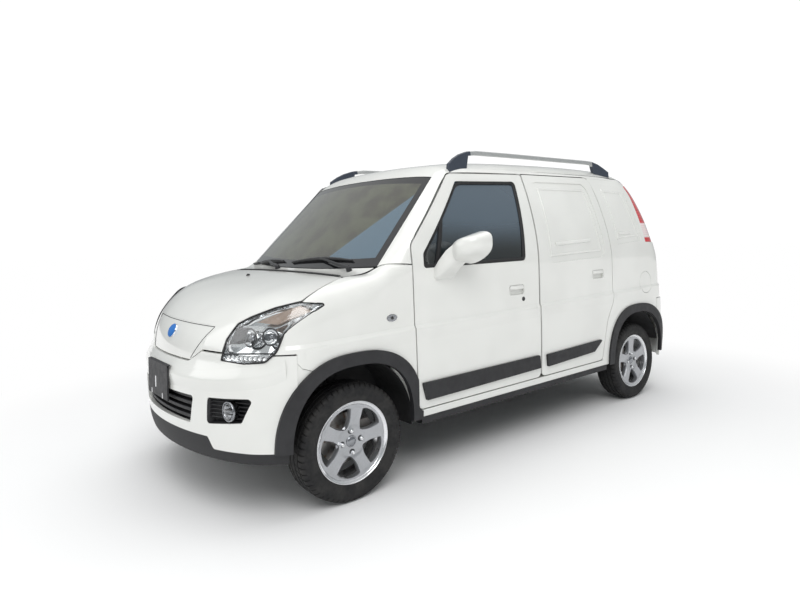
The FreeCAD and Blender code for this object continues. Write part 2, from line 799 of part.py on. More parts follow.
def between_edges(low, high, rows):
    """Guide rows across the van between two edges given for the left half."""
    guide = []
    for i in range(rows):
        t = i / (rows - 1.0)
        guide.append(mirrored_row([mix(point(*a), point(*b), t) for a, b in zip(low, high)]))
    return guide


windscreen = skin_panel(between_edges(SCREEN_EDGE, HEADER_EDGE, 7), size("glass_thickness"))
part_feature("windscreen", windscreen)

roof_rows = [mirrored_row([point(x, behind + 4, height + 5) for x, behind, height in HEADER_EDGE])]
for behind, edge_x, edge_height in ((650, 622, 1540), (720, 628, 1576), (850, 634, 1585), (1100, 636, 1590),
                                    (1500, 636, 1600), (1900, 636, 1606), (2200, 634, 1606), (2350, 630, 1594),
                                    (2420, 626, 1580), (2478, 620, 1560)):
    shares = [0, 0.36, 0.66, 0.86, 1]
    roof_rows.append(mirrored_row([
        point(share * edge_x, behind, mix(top_height(0, behind), edge_height, share ** 4)) for share in shares]))
roof = skin_panel(roof_rows, size("roof_thickness"))
roof = roof.common(box(-ROOF_SEAM + 0.5 * SEAT_GAP, ROOF_SEAM - 0.5 * SEAT_GAP, FRONT_AXLE + 500,
                       FRONT_AXLE + ROOF_END, 1400, 1800))
for x in (-400, 400):
    hinge_place, _ = onto_skin(point(x, ROOF_END, 1600))
    roof = roof.fuse(box(x - 20, x + 20, FRONT_AXLE + ROOF_END - 30, FRONT_AXLE + ROOF_END + GAP - 0.4,
                         hinge_place.z - 34, hinge_place.z - 14))
part_feature("roof_panel", roof)
body_side = body_side.cut(roof)
for side, flip in (("left", False), ("right", True)):
    part_feature("body_side_" + side, mirrored(body_side) if flip else body_side)

BONNET_CENTRE = [(16, 1017), (-80, 1004), (-200, 970), (-320, 933), (-420, 897), (-490, 855), (-528, 800),
                 (-548, 740), (-556, 716)]
BONNET_EDGE = [(633, 16, 1008), (672, -70, 985), (704, -160, 958), (724, -240, 921), (715, -310, 885),
               (670, -370, 850), (620, -420, 800), (560, -462, 745), (520, -490, 716)]
bonnet_rows = []
for (behind, height), edge in zip(BONNET_CENTRE, BONNET_EDGE):
    row = []
    for share in (0, 0.3, 0.55, 0.78, 1):
        row.append(point(edge[0] * share, mix(behind, edge[1], share ** 2), mix(height, edge[2], share ** 3)))
    bonnet_rows.append(mirrored_row(row))
bonnet = skin_panel(bonnet_rows, size("panel_thickness"))
for hole in (lamp_clearance, mirrored(lamp_clearance)):
    bonnet = bonnet.cut(hole)
NOSE_PANEL = [(-360, -480, 815), (360, -480, 815), (352, -520, 712), (262, -538, 662), (-262, -538, 662),
              (-352, -520, 712)]
nose_outline = prism_along([point(*place) for place in NOSE_PANEL], (0, -1, 0), 22)
nose_seat = prism_along([point(*place) for place in NOSE_PANEL], (0, -1, 0), 22, 0.5)
nose_hole = prism_along([point(*place) for place in NOSE_PANEL], (0, -1, 0), 22, GAP)
bonnet = bonnet.cut(nose_seat)
nose_panel = patch([(-390, -470, 825), (390, -470, 825), (390, -530, 655), (-390, -530, 655)], 7, 9,
                   size("panel_thickness")).common(nose_outline)
part_feature("bonnet", bonnet)
part_feature("nose_panel", nose_panel)

# Front wings


WING_GAP = GAP + 1


def wing_panel():
    outer, inner = [[], [], []], [[], [], []]
    for behind in (-400, -330, -260, -180, -100, -20, 60, 140, 220, 300, 352):
        edge = min(along([(-400, 740), (-243, 736), (-157, 713), (-65, 680), (22, 641), (120, 668),
                          (190, 692), (300, 758), (352, 766)], behind), 766)
        top = point(edge, behind, top_height(edge, behind) + 10)
        if behind > 170:
            top = point(edge, behind, 1052)
        lip = crease(behind)
        heights = [[mix(size("sill_height"), lip, t / 4.0) for t in range(5)], [lip, lip + 8, lip + 16]]
        for strip in (0, 1):
            skin = [side_point(behind, height) for height in heights[strip]]
            outer[strip].append(skin)
            inner[strip].append([place - ACROSS * size("panel_thickness") for place in skin])
        start = side_point(behind, lip + 16)
        row = [(start, ACROSS)]
        for t in (0.12, 0.25, 0.38, 0.5, 0.62, 0.74, 0.87, 1.0):
            turn = 0.5 * math.pi * t
            guess = Vector(top.x + (start.x - top.x) * math.cos(turn) ** 0.6, start.y,
                           start.z + (top.z - start.z) * math.sin(turn) ** 0.8)
            row.append(onto_skin(guess))
        outer[2].append([place for place, _ in row])
        inner[2].append([place - normal * size("panel_thickness") for place, normal in row])
    outer = [[list(rows) for rows in zip(*strip)] for strip in outer]
    inner = [[list(rows) for rows in zip(*strip)] for strip in inner]
    return solid_between(outer, inner)


wing = wing_panel()
wing = wing.cut(lamp_hole).cut(front_arch)
WING_REGION = [(-282, 790), (-282, 675), (-262, 652), (-214, 634), (60, 600), (60, 790)]
BUMPER_REGION = [(-520, 200), (-520, 713), (-284, 713), (-284, 674), (-264, 650), (-216, 632), (-100, 628),
                 (-100, 200)]
wing_region = through_side(side_outline([(a, b, 0) for a, b in WING_REGION]), 0, 600)
wing = wing.cut(through_side(side_outline([(a, b, 0) for a, b in BUMPER_REGION]), 0, 400))
bonnet_plan = rounded_outline([(point(x, behind, 600), 0) for x, behind in (
    (0, 16 + GAP), (639, 16 + GAP), (680, -70), (711, -160), (736, -243), (720, -330), (0, -330))])
wing = wing.cut(Part.Face(bonnet_plan).extrude(UP * 600))
wing = wing.cut(through_side(front_door_outline, WING_GAP))
wing = wing.cut(box(600, 900, FRONT_AXLE + 329.5, FRONT_AXLE + 400, 290, 346))
for side, flip in (("left", False), ("right", True)):
    part_feature("front_wing_" + side, mirrored(wing) if flip else wing)


# Bumpers

def bumper_shell(reach, rear, low, high, axis_behind, angles, thickness, depth=0.0):
    """Bumper skin wrapped round the corners, seen from an upright axis inside it, this deep under the outer face."""
    ends = {"topped": False}
    ends["rear" if rear else "front"] = reach
    heights = [mix(low, high, t / 14.0) for t in range(15)]
    outer, inner = [], []
    for angle in angles:
        direction = Vector(math.sin(math.radians(angle)), math.cos(math.radians(angle)) * (1 if rear else -1), 0)
        skin_column, inner_column = [], []
        for height in heights:
            inside, beyond = 100.0, 1200.0
            start = point(0, axis_behind, height)
            for _ in range(30):
                middle = 0.5 * (inside + beyond)
                place = start + direction * middle
                if outside(place.x, place.y - FRONT_AXLE, height, **ends) < 0:
                    inside = middle
                else:
                    beyond = middle
            skin_column.append(start + direction * (inside - depth))
            inner_column.append(start + direction * (inside - depth - thickness))
        outer.append(skin_column)
        inner.append(inner_column)
    return solid_between([outer], [inner])


BUMPER_THICKNESS = 20
HALF_ANGLES = [9, 18, 28, 38, 47, 56, 65, 74, 83]
FRONT_ANGLES = [-angle for angle in HALF_ANGLES[::-1]] + [0] + HALF_ANGLES
FRONT_BUMPER_TOP = 706
front_bumper = bumper_shell(BUMPER_REACH, False, 256, FRONT_BUMPER_TOP, -190, FRONT_ANGLES, BUMPER_THICKNESS)
for hole in (lamp_hole, mirrored(lamp_hole), front_arch, mirrored(front_arch)):
    front_bumper = front_bumper.cut(hole)
front_bumper = front_bumper.cut(nose_hole)
for region in (wing_region, mirrored(wing_region)):
    front_bumper = front_bumper.cut(region)

GRILLE = [(-352, 519), (352, 519), (318, 396), (-318, 396)]
FOG = [(448, 524), (668, 534), (618, 430), (436, 410)]


OPENING_RADIUS = 14


def front_prism(corners, grow=0.0):
    """Prism along the van with the outline of an opening in the front bumper, made larger all round by grow."""
    wire = rounded_outline([(point(x, -1000, height), OPENING_RADIUS) for x, height in corners])
    if grow:
        wire = wire.makeOffset2D(grow)
    return Part.Face(wire).extrude(ALONG * 750)


grille_hole = front_prism(GRILLE)
fog_hole = front_prism(FOG)
for hole in (grille_hole, fog_hole, mirrored(fog_hole)):
    front_bumper = front_bumper.cut(hole)
part_feature("front_bumper", front_bumper)

# Black grille insert with slats, fog lamp pockets, plate bracket and under lip

LINER_DEPTH = 45


def sunk_shell(depth, low, high, thickness):
    """Shell parallel to the front bumper's skin, this deep under it."""
    return bumper_shell(BUMPER_REACH, False, low, high, -190, FRONT_ANGLES, thickness, depth)


RING_START = BUMPER_THICKNESS + SEAT_GAP
liner_back = sunk_shell(LINER_DEPTH, 370, 552, 4)
liner_ring = sunk_shell(RING_START, 370, 552, LINER_DEPTH + 2 - RING_START)


def lined_opening(corners):
    """Pocket behind an opening of the bumper: a back and a ring up to the bumper's inner face."""
    back = liner_back.common(front_prism(corners, 9))
    ring = liner_ring.common(front_prism(corners, 9)).cut(front_prism(corners, 1.5))
    return back.fuse(ring)


slats = []
for number in range(4):
    height = 508 - number * 30
    slats.append(sunk_shell(16, height - 7, height + 7, 31).common(front_prism(GRILLE, -0.5)))
grille = lined_opening(GRILLE).multiFuse(slats)
PLATE_FACE, PLATE_THICKNESS = size("front_overhang"), 7
plate_bracket = box(-147, 147, FRONT_AXLE - PLATE_FACE, FRONT_AXLE - PLATE_FACE + PLATE_THICKNESS, 464, 622)
PLATE_BOLTS, PLATE_BOLT_HEIGHT = size("plate_bolt_spacing"), 590
for x in (-0.5 * PLATE_BOLTS, 0.5 * PLATE_BOLTS):
    plate_bracket = plate_bracket.cut(Part.makeCylinder(size("plate_bolt_hole"), 30,
                                                        point(x, -620, PLATE_BOLT_HEIGHT), ALONG))
spacer_end, _ = onto_skin(point(60, -PLATE_FACE, 560), front=BUMPER_REACH, topped=False)
SPACER_LENGTH = spacer_end.y - FRONT_AXLE + PLATE_FACE - 1 - 2 * SEAT_GAP
for x in (-60, 60):
    plate_bracket = plate_bracket.fuse(Part.makeCylinder(12, SPACER_LENGTH, point(x, -PLATE_FACE + 1, 560), ALONG))
part_feature("grille_insert", Part.Compound([grille, plate_bracket]))
fog_lamp = Part.makeCylinder(46, 62, point(549, -446, 474), Vector(0.5, -0.86, 0))
fog_unit = lined_opening(FOG).fuse(fog_lamp)
part_feature("fog_lamps", Part.Compound([fog_unit, mirrored(fog_unit)]))

REAR_ANGLES = [-76, -68, -60, -52, -44, -36, -27, -18, -9, 0, 9, 18, 27, 36, 44, 52, 60, 68, 76]
rear_bumper = bumper_shell(REAR_BUMPER_REACH, True, 262, BUMPER_TOP, 2400, REAR_ANGLES, BUMPER_THICKNESS)
for hole in (rear_arch, mirrored(rear_arch)):
    rear_bumper = rear_bumper.cut(hole)
rear_bumper = rear_bumper.cut(box(-900, 900, FRONT_AXLE + 2300, FRONT_AXLE + 2590, 560, 700))
part_feature("rear_bumper", rear_bumper)

# Headlamps

lamp_skin = patch([(800, -110, 960), (430, -540, 900), (430, -560, 640), (800, -300, 640)], 8, 9, 90, 1)
headlamp = lamp_skin.common(lamp_form)
part_feature("headlamps", Part.Compound([headlamp, mirrored(headlamp)]))

# Tailgate with its glass

TAILGATE_LEVELS = [(696, 2740), (800, 2738), (900, 2732), (1000, 2718), (1080, 2692), (1180, 2652),
                   (1300, 2614), (1420, 2570), (1520, 2528), (1580, 2496), (1604, 2476), (1614, 2450)]


gate_rows = []
for height, behind in TAILGATE_LEVELS:
    edge = tailgate_edge(height) + 15
    gate_rows.append(mirrored_row([point(edge * share, behind, height) for share in (0, 0.3, 0.58, 0.82, 1)]))
tailgate = skin_panel(gate_rows, 40).common(gate_prism(0))
tailgate = tailgate.cut(box(-900, 900, FRONT_AXLE + 2300, FRONT_AXLE + ROOF_END + GAP, 1400, 1800))
GATE_WINDOW = [(-520, 1090), (520, 1090), (492, 1500), (-492, 1500)]
window_wire = rounded_outline([(point(x, 2300, height), 50) for x, height in GATE_WINDOW])
gate_window = Part.Face(window_wire).extrude(ALONG * 700)
tailgate = tailgate.cut(gate_window)
REAR_PLATE_FACE, REAR_PLATE_HEIGHT = 2746, 895
plate_pad = box(-172, 172, FRONT_AXLE + 2720, FRONT_AXLE + REAR_PLATE_FACE, 755, 925)
tailgate = tailgate.fuse(plate_pad)
for x in (-0.5 * PLATE_BOLTS, 0.5 * PLATE_BOLTS):
    tailgate = tailgate.cut(Part.makeCylinder(size("plate_bolt_hole"), 20,
                                              point(x, REAR_PLATE_FACE - 18, REAR_PLATE_HEIGHT), ALONG))
part_feature("tailgate", tailgate)
glass_rows = []
for height, behind in TAILGATE_LEVELS[3:-2]:
    glass_rows.append(mirrored_row([point(540 * share, behind, height) for share in (0, 0.35, 0.7, 1)]))
tailgate_glass = skin_panel(glass_rows, size("glass_thickness"), 8).common(gate_window)
part_feature("tailgate_glass", tailgate_glass)

# Tail lamps up the rear corners, let into the quarter

tail_rows = []
for height in (1090, 1170, 1250, 1330, 1410, 1490, 1556):
    centre = mix(2468, 2396, (height - 1120) / 416.0)
    tail_behind = along([(1002, 2700), (1109, 2660), (1300, 2595), (1514, 2510), (1600, 2470)], height)
    half = side_half_width(2400, height)
    edge = tailgate_edge(height) + GAP
    tail_rows.append([point(half, centre - 10, height), point(half - 4, mix(centre, tail_behind, 0.45), height),
                      point(half - 25, mix(centre, tail_behind, 0.85), height),
                      point(mix(half, edge, 0.55), tail_behind + 2, height), point(edge, tail_behind + 6, height)])
tail_lamp = skin_panel(tail_rows, 40).common(tail_prism).cut(gate_prism(GAP)).cut(roof).cut(body_side)
part_feature("tail_lamps", Part.Compound([tail_lamp, mirrored(tail_lamp)]))


# Black trims: one round each wheel arch, one along each sill

ARCH_SILL = 300


def arch_trim(axle_behind, start, end, **ends):
    """Trim that stands proud of the side round a wheel arch, with a lip into the opening."""
    band = size("arch_trim_width") - 8
    face = side_slab(start, end, ARCH_SILL, 760, -size("arch_trim_flare"), -SEAT_GAP, 13, **ends)
    face = face.common(arch_prism(axle_behind, band)).cut(arch_prism(axle_behind, -8))
    lip = side_slab(start, end, ARCH_SILL, 760, -1, 14, 13, **ends)
    lip = lip.common(arch_prism(axle_behind, -0.5)).cut(arch_prism(axle_behind, -8))
    return face.fuse(lip)


front_trim = arch_trim(0, -440, 440, front=BUMPER_REACH).cut(through_side(front_door_outline, GAP))
front_trim = front_trim.cut(front_bumper).cut(wing)
rear_trim = arch_trim(size("wheelbase"), size("wheelbase") - 440, size("wheelbase") + 400, rear=REAR_BUMPER_REACH)
rear_trim = rear_trim.cut(rear_bumper).cut(body_side)
sill_trim = side_slab(300, 1980, 272, 900, -2, 50).common(
    box(600, 900, FRONT_AXLE + 345, FRONT_AXLE + 1945, 272, size("sill_height") - SEAT_GAP))
sill_trim = sill_trim.cut(arch_prism(0, size("arch_trim_width") - 7.5)).cut(
    arch_prism(size("wheelbase"), size("arch_trim_width") - 7.5))
trims = [front_trim, rear_trim, sill_trim]
part_feature("arch_and_sill_trims", Part.Compound(trims + [mirrored(trim) for trim in trims]))

# Roof rails on feet


def over_skin(x, behind, height, lift):
    place, normal = onto_skin(point(x, behind, height))
    return place + normal * lift


# Stations of a rail: across, behind, height of its top, and whether it stands on the roof there
RAIL = [(627, 696, 1590, True), (617, 740, 1622, True), (608, 790, 1648, True), (600, 850, 1668, True),
        (596, 868, 1672, False), (590, 940, 1682, False), (585, 1250, 1690, False), (580, 1650, 1697, False),
        (576, 2030, 1704, False), (576, 2092, 1703, False), (577, 2110, 1700, True), (583, 2160, 1688, True),
        (592, 2212, 1664, True), (600, 2262, 1638, True)]
RAIL_LIFT = 4 * SEAT_GAP


def top_of_roof(x, behind):
    """Height of the roof or of the rail over the doors, above a place in the plan."""
    line = Part.LineSegment(point(x, behind, 1350), point(x, behind, 1800)).toShape()
    crossings = [line.common(shape) for shape in (roof, pillar)]
    return max(crossing.BoundBox.ZMax for crossing in crossings if crossing.Edges)


def rail_section(x, behind, top, standing):
    """Section across a roof rail, its underside on the roof where the rail stands on it."""
    half = size("rail_radius")
    under, over = [], []
    for share in (-1, -0.33, 0.33, 1):
        place = x + share * half
        height = top_of_roof(place, behind) + RAIL_LIFT if standing else top - 2 * half
        under.append(point(place, behind, height))
        over.append(point(x + share * 0.8 * half, behind, top - 5 * share * share))
    corners = under + over[::-1]
    return Part.makePolygon(corners + [corners[0]])


rail = Part.makeLoft([rail_section(*station) for station in RAIL], True, True)
part_feature("roof_rails", Part.Compound([rail, mirrored(rail)]))

# Cowl and bulkhead

cowl = skin_panel(between_edges(
    [(0, 29, 1018), (250, 29, 1018), (450, 29, 1014), (560, 29, 1010), (636, 29, 1006)],
    [(0, 92, 1028), (250, 100, 1030), (450, 126, 1036), (600, 153, 1042), (676, 170, 1046)], 4), 15)
BULKHEAD = 240
bulkhead_plate = box(-690, 690, FRONT_AXLE + BULKHEAD, FRONT_AXLE + BULKHEAD + 6, 283, 983)
tray = box(-640, 640, FRONT_AXLE + 60, FRONT_AXLE + BULKHEAD + 6, 975, 983)
lip = box(-640, 640, FRONT_AXLE + 60, FRONT_AXLE + 66, 980, 1000)


def bonnet_lug(x):
    """Lug beside the hinge line, from the cowl up to the rear edge of the bonnet."""
    lug = box(x - 20, x + 20, FRONT_AXLE + 40, FRONT_AXLE + 60, 992, 1003)
    reach = lug.distToShape(bonnet)[0] - SEAT_GAP
    return box(x - 20, x + 20, FRONT_AXLE + 40 - reach, FRONT_AXLE + 60, 992, 1003)


bulkhead = cowl.multiFuse([bulkhead_plate, tray, lip, bonnet_lug(-510), bonnet_lug(510)])
for bay in (wheel_bay(0, BAY_INNER, BAY_RADIUS + 0.5, 760), mirrored(wheel_bay(0, BAY_INNER, BAY_RADIUS + 0.5, 760))):
    bulkhead = bulkhead.cut(bay)
for x in (-410, 410):
    bulkhead = bulkhead.cut(box(x - 31, x + 31, FRONT_AXLE + 200, FRONT_AXLE + 300, 379, 471))
part_feature("bulkhead", bulkhead)

# Floor, inner sills, wheelhouses and front rails

FLOOR = 262
FLOOR_TOP = 282
LOAD_FLOOR = 540


def wheelhouse(axle_behind, outer_x, front_limit, rear_limit):
    shell = wheel_bay(axle_behind, BAY_INNER, BAY_RADIUS, outer_x).cut(
        wheel_bay(axle_behind, BAY_INNER + BAY_WALL, BAY_RADIUS - BAY_WALL, outer_x + 10))
    return shell.common(box(0, 900, FRONT_AXLE + axle_behind - front_limit, FRONT_AXLE + axle_behind + rear_limit,
                            FLOOR, 700))


def both(shapes):
    return shapes + [mirrored(shape) for shape in shapes]


floor_plates = [
    box(-690, 690, FRONT_AXLE + BULKHEAD + 6, FRONT_AXLE + 1700, FLOOR, FLOOR_TOP),
    box(-670, 670, FRONT_AXLE + 1690, FRONT_AXLE + 2640, LOAD_FLOOR, LOAD_FLOOR + 20),
    box(-670, 670, FRONT_AXLE + 1690, FRONT_AXLE + 1700, FLOOR, LOAD_FLOOR + 20),
    box(-600, 600, FRONT_AXLE + 2640, FRONT_AXLE + 2650, 300, 690),
]
floor = floor_plates[0].multiFuse(floor_plates[1:])
for axle in (0, size("wheelbase")):
    for bay in both([wheel_bay(axle, BAY_INNER, BAY_RADIUS - 2, 780)]):
        floor = floor.cut(bay)
supports = [
    box(-420, 420, FRONT_AXLE - 505, FRONT_AXLE - 478, 372, 470),
    box(-300, 300, FRONT_AXLE - 538, FRONT_AXLE - 478, 320, 372),
    box(-300, 300, FRONT_AXLE + 2650, FRONT_AXLE + 2755, 420, 500)]
supports += both([
    box(380, BAY_INNER, FRONT_AXLE - 478, FRONT_AXLE + 246, 380, 470),
    box(BAY_INNER, 712, FRONT_AXLE - 325, FRONT_AXLE - 321, FLOOR, 426),
    box(378, 432, FRONT_AXLE + 1880, FRONT_AXLE + 1900 - SEAT_GAP, 240, LOAD_FLOOR + 10),
    wheelhouse(0, 712, 325, 400), wheelhouse(size("wheelbase"), 740, 400, 336)])
floor = floor.multiFuse(supports)
for hole in both([box(430, 460, FRONT_AXLE + 2300, FRONT_AXLE + 2370, 255, 297)]):
    floor = floor.cut(hole)
part_feature("floor_pan", floor)


# Wheels

def revolved(label, places, axis="H_Axis"):
    """Ring or disc turned about the sketch's own axis, in the plane of X and Y."""
    body, sketch = body_with_sketch(label, "XY_Plane")
    draw_polygon(sketch, places)
    turn = body.newObject("PartDesign::Revolution", label + "_turn")
    turn.Profile = sketch
    turn.ReferenceAxis = (sketch, [axis])
    turn.Angle = 360
    body.Tip = turn
    return body


def tyre(label):
    half = cell("tyre_width") * 0.5
    tread, bead = cell("tyre_radius"), cell("bead_radius")
    bead = bead + cell("seat_gap")
    right = [(half - 17, bead), (half - 17, bead + 14), (half - 2, bead + 30), (half, bead + 52),
             (half - 5, tread - 17), (half - 17, tread - 4), (half - 34, tread)]
    left = [(-a, b) for a, b in reversed(right)]
    return revolved(label, right + left)


def alloy(label):
    """Five-spoke rim: barrel with two flanges and a dished face with windows between the spokes."""
    half, flange, seat = cell("rim_width") * 0.5, cell("rim_radius"), cell("bead_radius")
    wall = cell("rim_wall")
    face_out, face_in = half * 0.78, half * 0.4
    zero = measure(0)
    body = revolved(label, [
        (-half, flange - wall), (-half, flange), (-half + wall, flange), (-half + wall + 2, seat),
        (half - wall - 2, seat), (half - wall, flange), (half, flange), (half, flange - wall),
        (face_out + 6, seat - wall - 6), (face_out, cell("hub_face_radius") + 20),
        (face_out - 8, cell("hub_face_radius")), (face_out - 8, zero + 20), (face_in - 10, zero + 20),
        (face_in - 10, cell("hub_face_radius")), (face_in + 4, seat - wall - 14), (face_in - 6, seat - wall),
        (-half + wall + 4, seat - wall)])
    window = sketch_on(body, label + "_window", "YZ_Plane")
    inner, outer = cell("hub_face_radius") + 12, seat - wall - 12
    draw_polygon(window, [(inner * -0.2, inner), (inner * -0.52, inner * 1.45), (outer * -0.4, outer * 0.9),
                          (outer * -0.22, outer * 0.975), (outer * 0.22, outer * 0.975),
                          (outer * 0.4, outer * 0.9), (inner * 0.52, inner * 1.45), (inner * 0.2, inner)])
    cut = body.newObject("PartDesign::Pocket", label + "_cut")
    cut.Profile = window
    cut.Length = 200
    cut.Midplane = True
    pattern = body.newObject("PartDesign::PolarPattern", label + "_windows")
    pattern.Originals = [cut]
    pattern.Axis = (window, ["N_Axis"])
    pattern.Angle = 360
    pattern.Occurrences = 5
    pattern.setExpression("Occurrences", cell("spoke_count").text)
    body.Tip = pattern
    return body


WHEEL_SIDES = [("front_left", front_axle, 1), ("front_right", front_axle, -1),
               ("rear_left", rear_axle, 1), ("rear_right", rear_axle, -1)]
wheel_middle = cell("wheel_face") - cell("tyre_width") * 0.5
HALF_TURN = FreeCAD.Rotation(UP, 180)
hub_plane = cell("rim_width") * 0.2 - 10 - cell("seat_gap")
stub_bore = cell("stub_radius") + cell("seat_gap")
for corner, axle, sign in WHEEL_SIDES:
    for kind, maker in (("tyre_", tyre), ("rim_", alloy)):
        wheel = maker(kind + corner)
        if sign < 0:
            wheel.Placement = FreeCAD.Placement(Vector(0, 0, 0), HALF_TURN)
        place_at(wheel, wheel_middle * sign, axle, cell("tyre_radius"))
        named(wheel, kind + corner)
    if corner.startswith("front"):
        disc = revolved("brake_disc_" + corner[6:], [
            (measure(-32), stub_bore), (measure(-32), cell("disc_radius")),
            (cell("disc_thickness") - 32, cell("disc_radius")), (cell("disc_thickness") - 32, measure(66)),
            (hub_plane, measure(66)), (hub_plane, stub_bore)])
    else:
        disc = revolved("brake_drum_" + corner[5:], [
            (measure(-34), stub_bore), (measure(-34), cell("drum_radius")), (measure(10), cell("drum_radius")),
            (hub_plane, cell("drum_radius") - 8), (hub_plane, stub_bore)])
    if sign < 0:
        disc.Placement = FreeCAD.Placement(Vector(0, 0, 0), HALF_TURN)
    place_at(disc, wheel_middle * sign, axle, cell("tyre_radius"))
    named(disc, disc.Name)

# Knuckles, arms, struts and rear axle

KINGPIN = 600


def knuckle():
    centre = point(KINGPIN, 0, WHEEL_CENTRE)
    upright = box(KINGPIN - 26, KINGPIN + 26, centre.y - 30, centre.y + 30, 172, 372)
    stub = Part.makeCylinder(size("stub_radius"), 70, centre, ACROSS)
    arm = box(KINGPIN - 60, KINGPIN - 10, centre.y + 10, centre.y + 130, 196, 214)
    caliper = Part.makeCylinder(138, 60, centre + ACROSS * 20, ACROSS)
    caliper = caliper.cut(Part.makeCylinder(62, 80, centre + ACROSS * 10, ACROSS))
    carrier = Part.makeCylinder(110, 18, centre + ACROSS * 8, ACROSS)
    quarter_block = box(KINGPIN, KINGPIN + 90, centre.y, centre.y + 150, centre.z - 30, centre.z + 75)
    x_disc = size("wheel_face") - 0.5 * size("tyre_width") - 32
    slot = Part.makeCylinder(size("disc_radius") + 3, size("disc_thickness") + 3,
                             Vector(x_disc - 1.5, centre.y, centre.z), ACROSS)
    hat = Part.makeCylinder(size("stub_radius") + 46, 60, Vector(x_disc - 1.5, centre.y, centre.z), ACROSS)
    outer = caliper.common(quarter_block).cut(slot).cut(hat)
    return upright.multiFuse([arm, outer, carrier.common(quarter_block)]).cut(slot).fuse(stub)


left_knuckle = knuckle()
part_feature("knuckle_left", left_knuckle)
part_feature("knuckle_right", mirrored(left_knuckle))

SUBFRAME_TOP = 250 - SEAT_GAP
subframe = box(-405, 405, FRONT_AXLE - 60, FRONT_AXLE + 60, 150, SUBFRAME_TOP)
side_pieces = [
    box(400, KINGPIN, FRONT_AXLE - 22, FRONT_AXLE + 22, 150, 166),
    Part.makeCylinder(16, 22 - SEAT_GAP, point(KINGPIN, 0, 150), UP),
    box(386, 434, FRONT_AXLE - 40, FRONT_AXLE + 40, 240, 380 - SEAT_GAP)]
front_suspension = subframe.multiFuse(both(side_pieces))
strut = Part.makeCylinder(22, 260, point(545, 0, 376), UP).fuse(
    box(523, 622, FRONT_AXLE - 22, FRONT_AXLE + 22, 372 + SEAT_GAP, 384))
part_feature("front_suspension", Part.Compound([front_suspension, strut, mirrored(strut)]))

REAR = size("wheelbase")
DRUM_BACK = size("wheel_face") - 0.5 * size("tyre_width") - 34 - SEAT_GAP
beam = tube_between(point(-600, REAR, WHEEL_CENTRE), point(600, REAR, WHEEL_CENTRE), 28)
axle_pieces = both([
    tube_between(point(600, REAR, WHEEL_CENTRE), point(DRUM_BACK, REAR, WHEEL_CENTRE), size("drum_radius")),
    tube_between(point(600, REAR, WHEEL_CENTRE), point(672, REAR, WHEEL_CENTRE), size("stub_radius")),
    box(386, 424, FRONT_AXLE + 1900, FRONT_AXLE + REAR, 250, 300),
    Part.makeCylinder(50, LOAD_FLOOR - SEAT_GAP - 270, point(310, REAR, 270), UP)])
part_feature("rear_axle", beam.multiFuse(axle_pieces))

drive_unit = doc.addObject("Part::Box", "drive_unit")
bind(drive_unit, Length=600, Width=380, Height=360)
place_at(drive_unit, -300, front_axle - 230, 250)
named(drive_unit, "drive_unit")

# Cabin: dashboard with its column, steering wheel, two seats

dash_outline = rounded_outline([(point(-680, behind, height), radius) for behind, height, radius in (
    (BULKHEAD + 6, 970, 20), (BULKHEAD + 6, 640, 10), (420, 640, 40), (520, 860, 40), (500, 965, 30))])
dashboard = Part.Face(dash_outline).extrude(ACROSS * 1360)
WHEEL_HUB = point(350, 600, 955.6)
COLUMN_AXIS = Vector(0, math.cos(math.radians(25)), math.sin(math.radians(25)))
HUB_DEPTH = 36
column = tube_between(WHEEL_HUB - COLUMN_AXIS * 150, WHEEL_HUB - COLUMN_AXIS * (HUB_DEPTH + SEAT_GAP), 22)
part_feature("dashboard", dashboard.fuse(column))


def steering_wheel():
    rim = Part.makeTorus(size("steering_wheel_radius"), size("steering_rim_radius"), WHEEL_HUB, COLUMN_AXIS)
    hub = Part.makeCylinder(52, 56, WHEEL_HUB - COLUMN_AXIS * HUB_DEPTH, COLUMN_AXIS)
    spokes = []
    for angle in (0, 180, 270):
        tip = FreeCAD.Rotation(COLUMN_AXIS, angle).multVec(ACROSS)
        spokes.append(tube_between(WHEEL_HUB, WHEEL_HUB + tip * size("steering_wheel_radius"), 12))
    return rim.multiFuse([hub] + spokes)


part_feature("steering_wheel", steering_wheel())


def seat(offset):
    half = 0.5 * size("seat_width")
    cushion_side = rounded_outline([(point(offset - half, behind, height), radius) for behind, height, radius in (
        (840, 440, 30), (840, 570, 60), (1330, 545, 30), (1400, 420, 30))])
    cushion = Part.Face(cushion_side).extrude(ACROSS * 2 * half)
    back_side = rounded_outline([(point(offset - half + 15, behind, height), radius) for behind, height, radius in (
        (1330, 530, 20), (1440, 1120, 50), (1540, 1120, 50), (1450, 480, 30))])
    back = Part.Face(back_side).extrude(ACROSS * (2 * half - 30))
    head = box(offset - 130, offset + 130, FRONT_AXLE + 1455, FRONT_AXLE + 1545, 1140, 1310)
    posts = box(offset - 60, offset + 60, FRONT_AXLE + 1485, FRONT_AXLE + 1500, 1100, 1160)
    base = box(offset - half + 40, offset + half - 40, FRONT_AXLE + 900, FRONT_AXLE + 1350, 282, 445)
    return cushion.multiFuse([back, head, posts, base])


for side, offset in (("left", size("seat_offset")), ("right", -size("seat_offset"))):
    part_feature("seat_" + side, seat(offset))


# Wipers parked towards the right

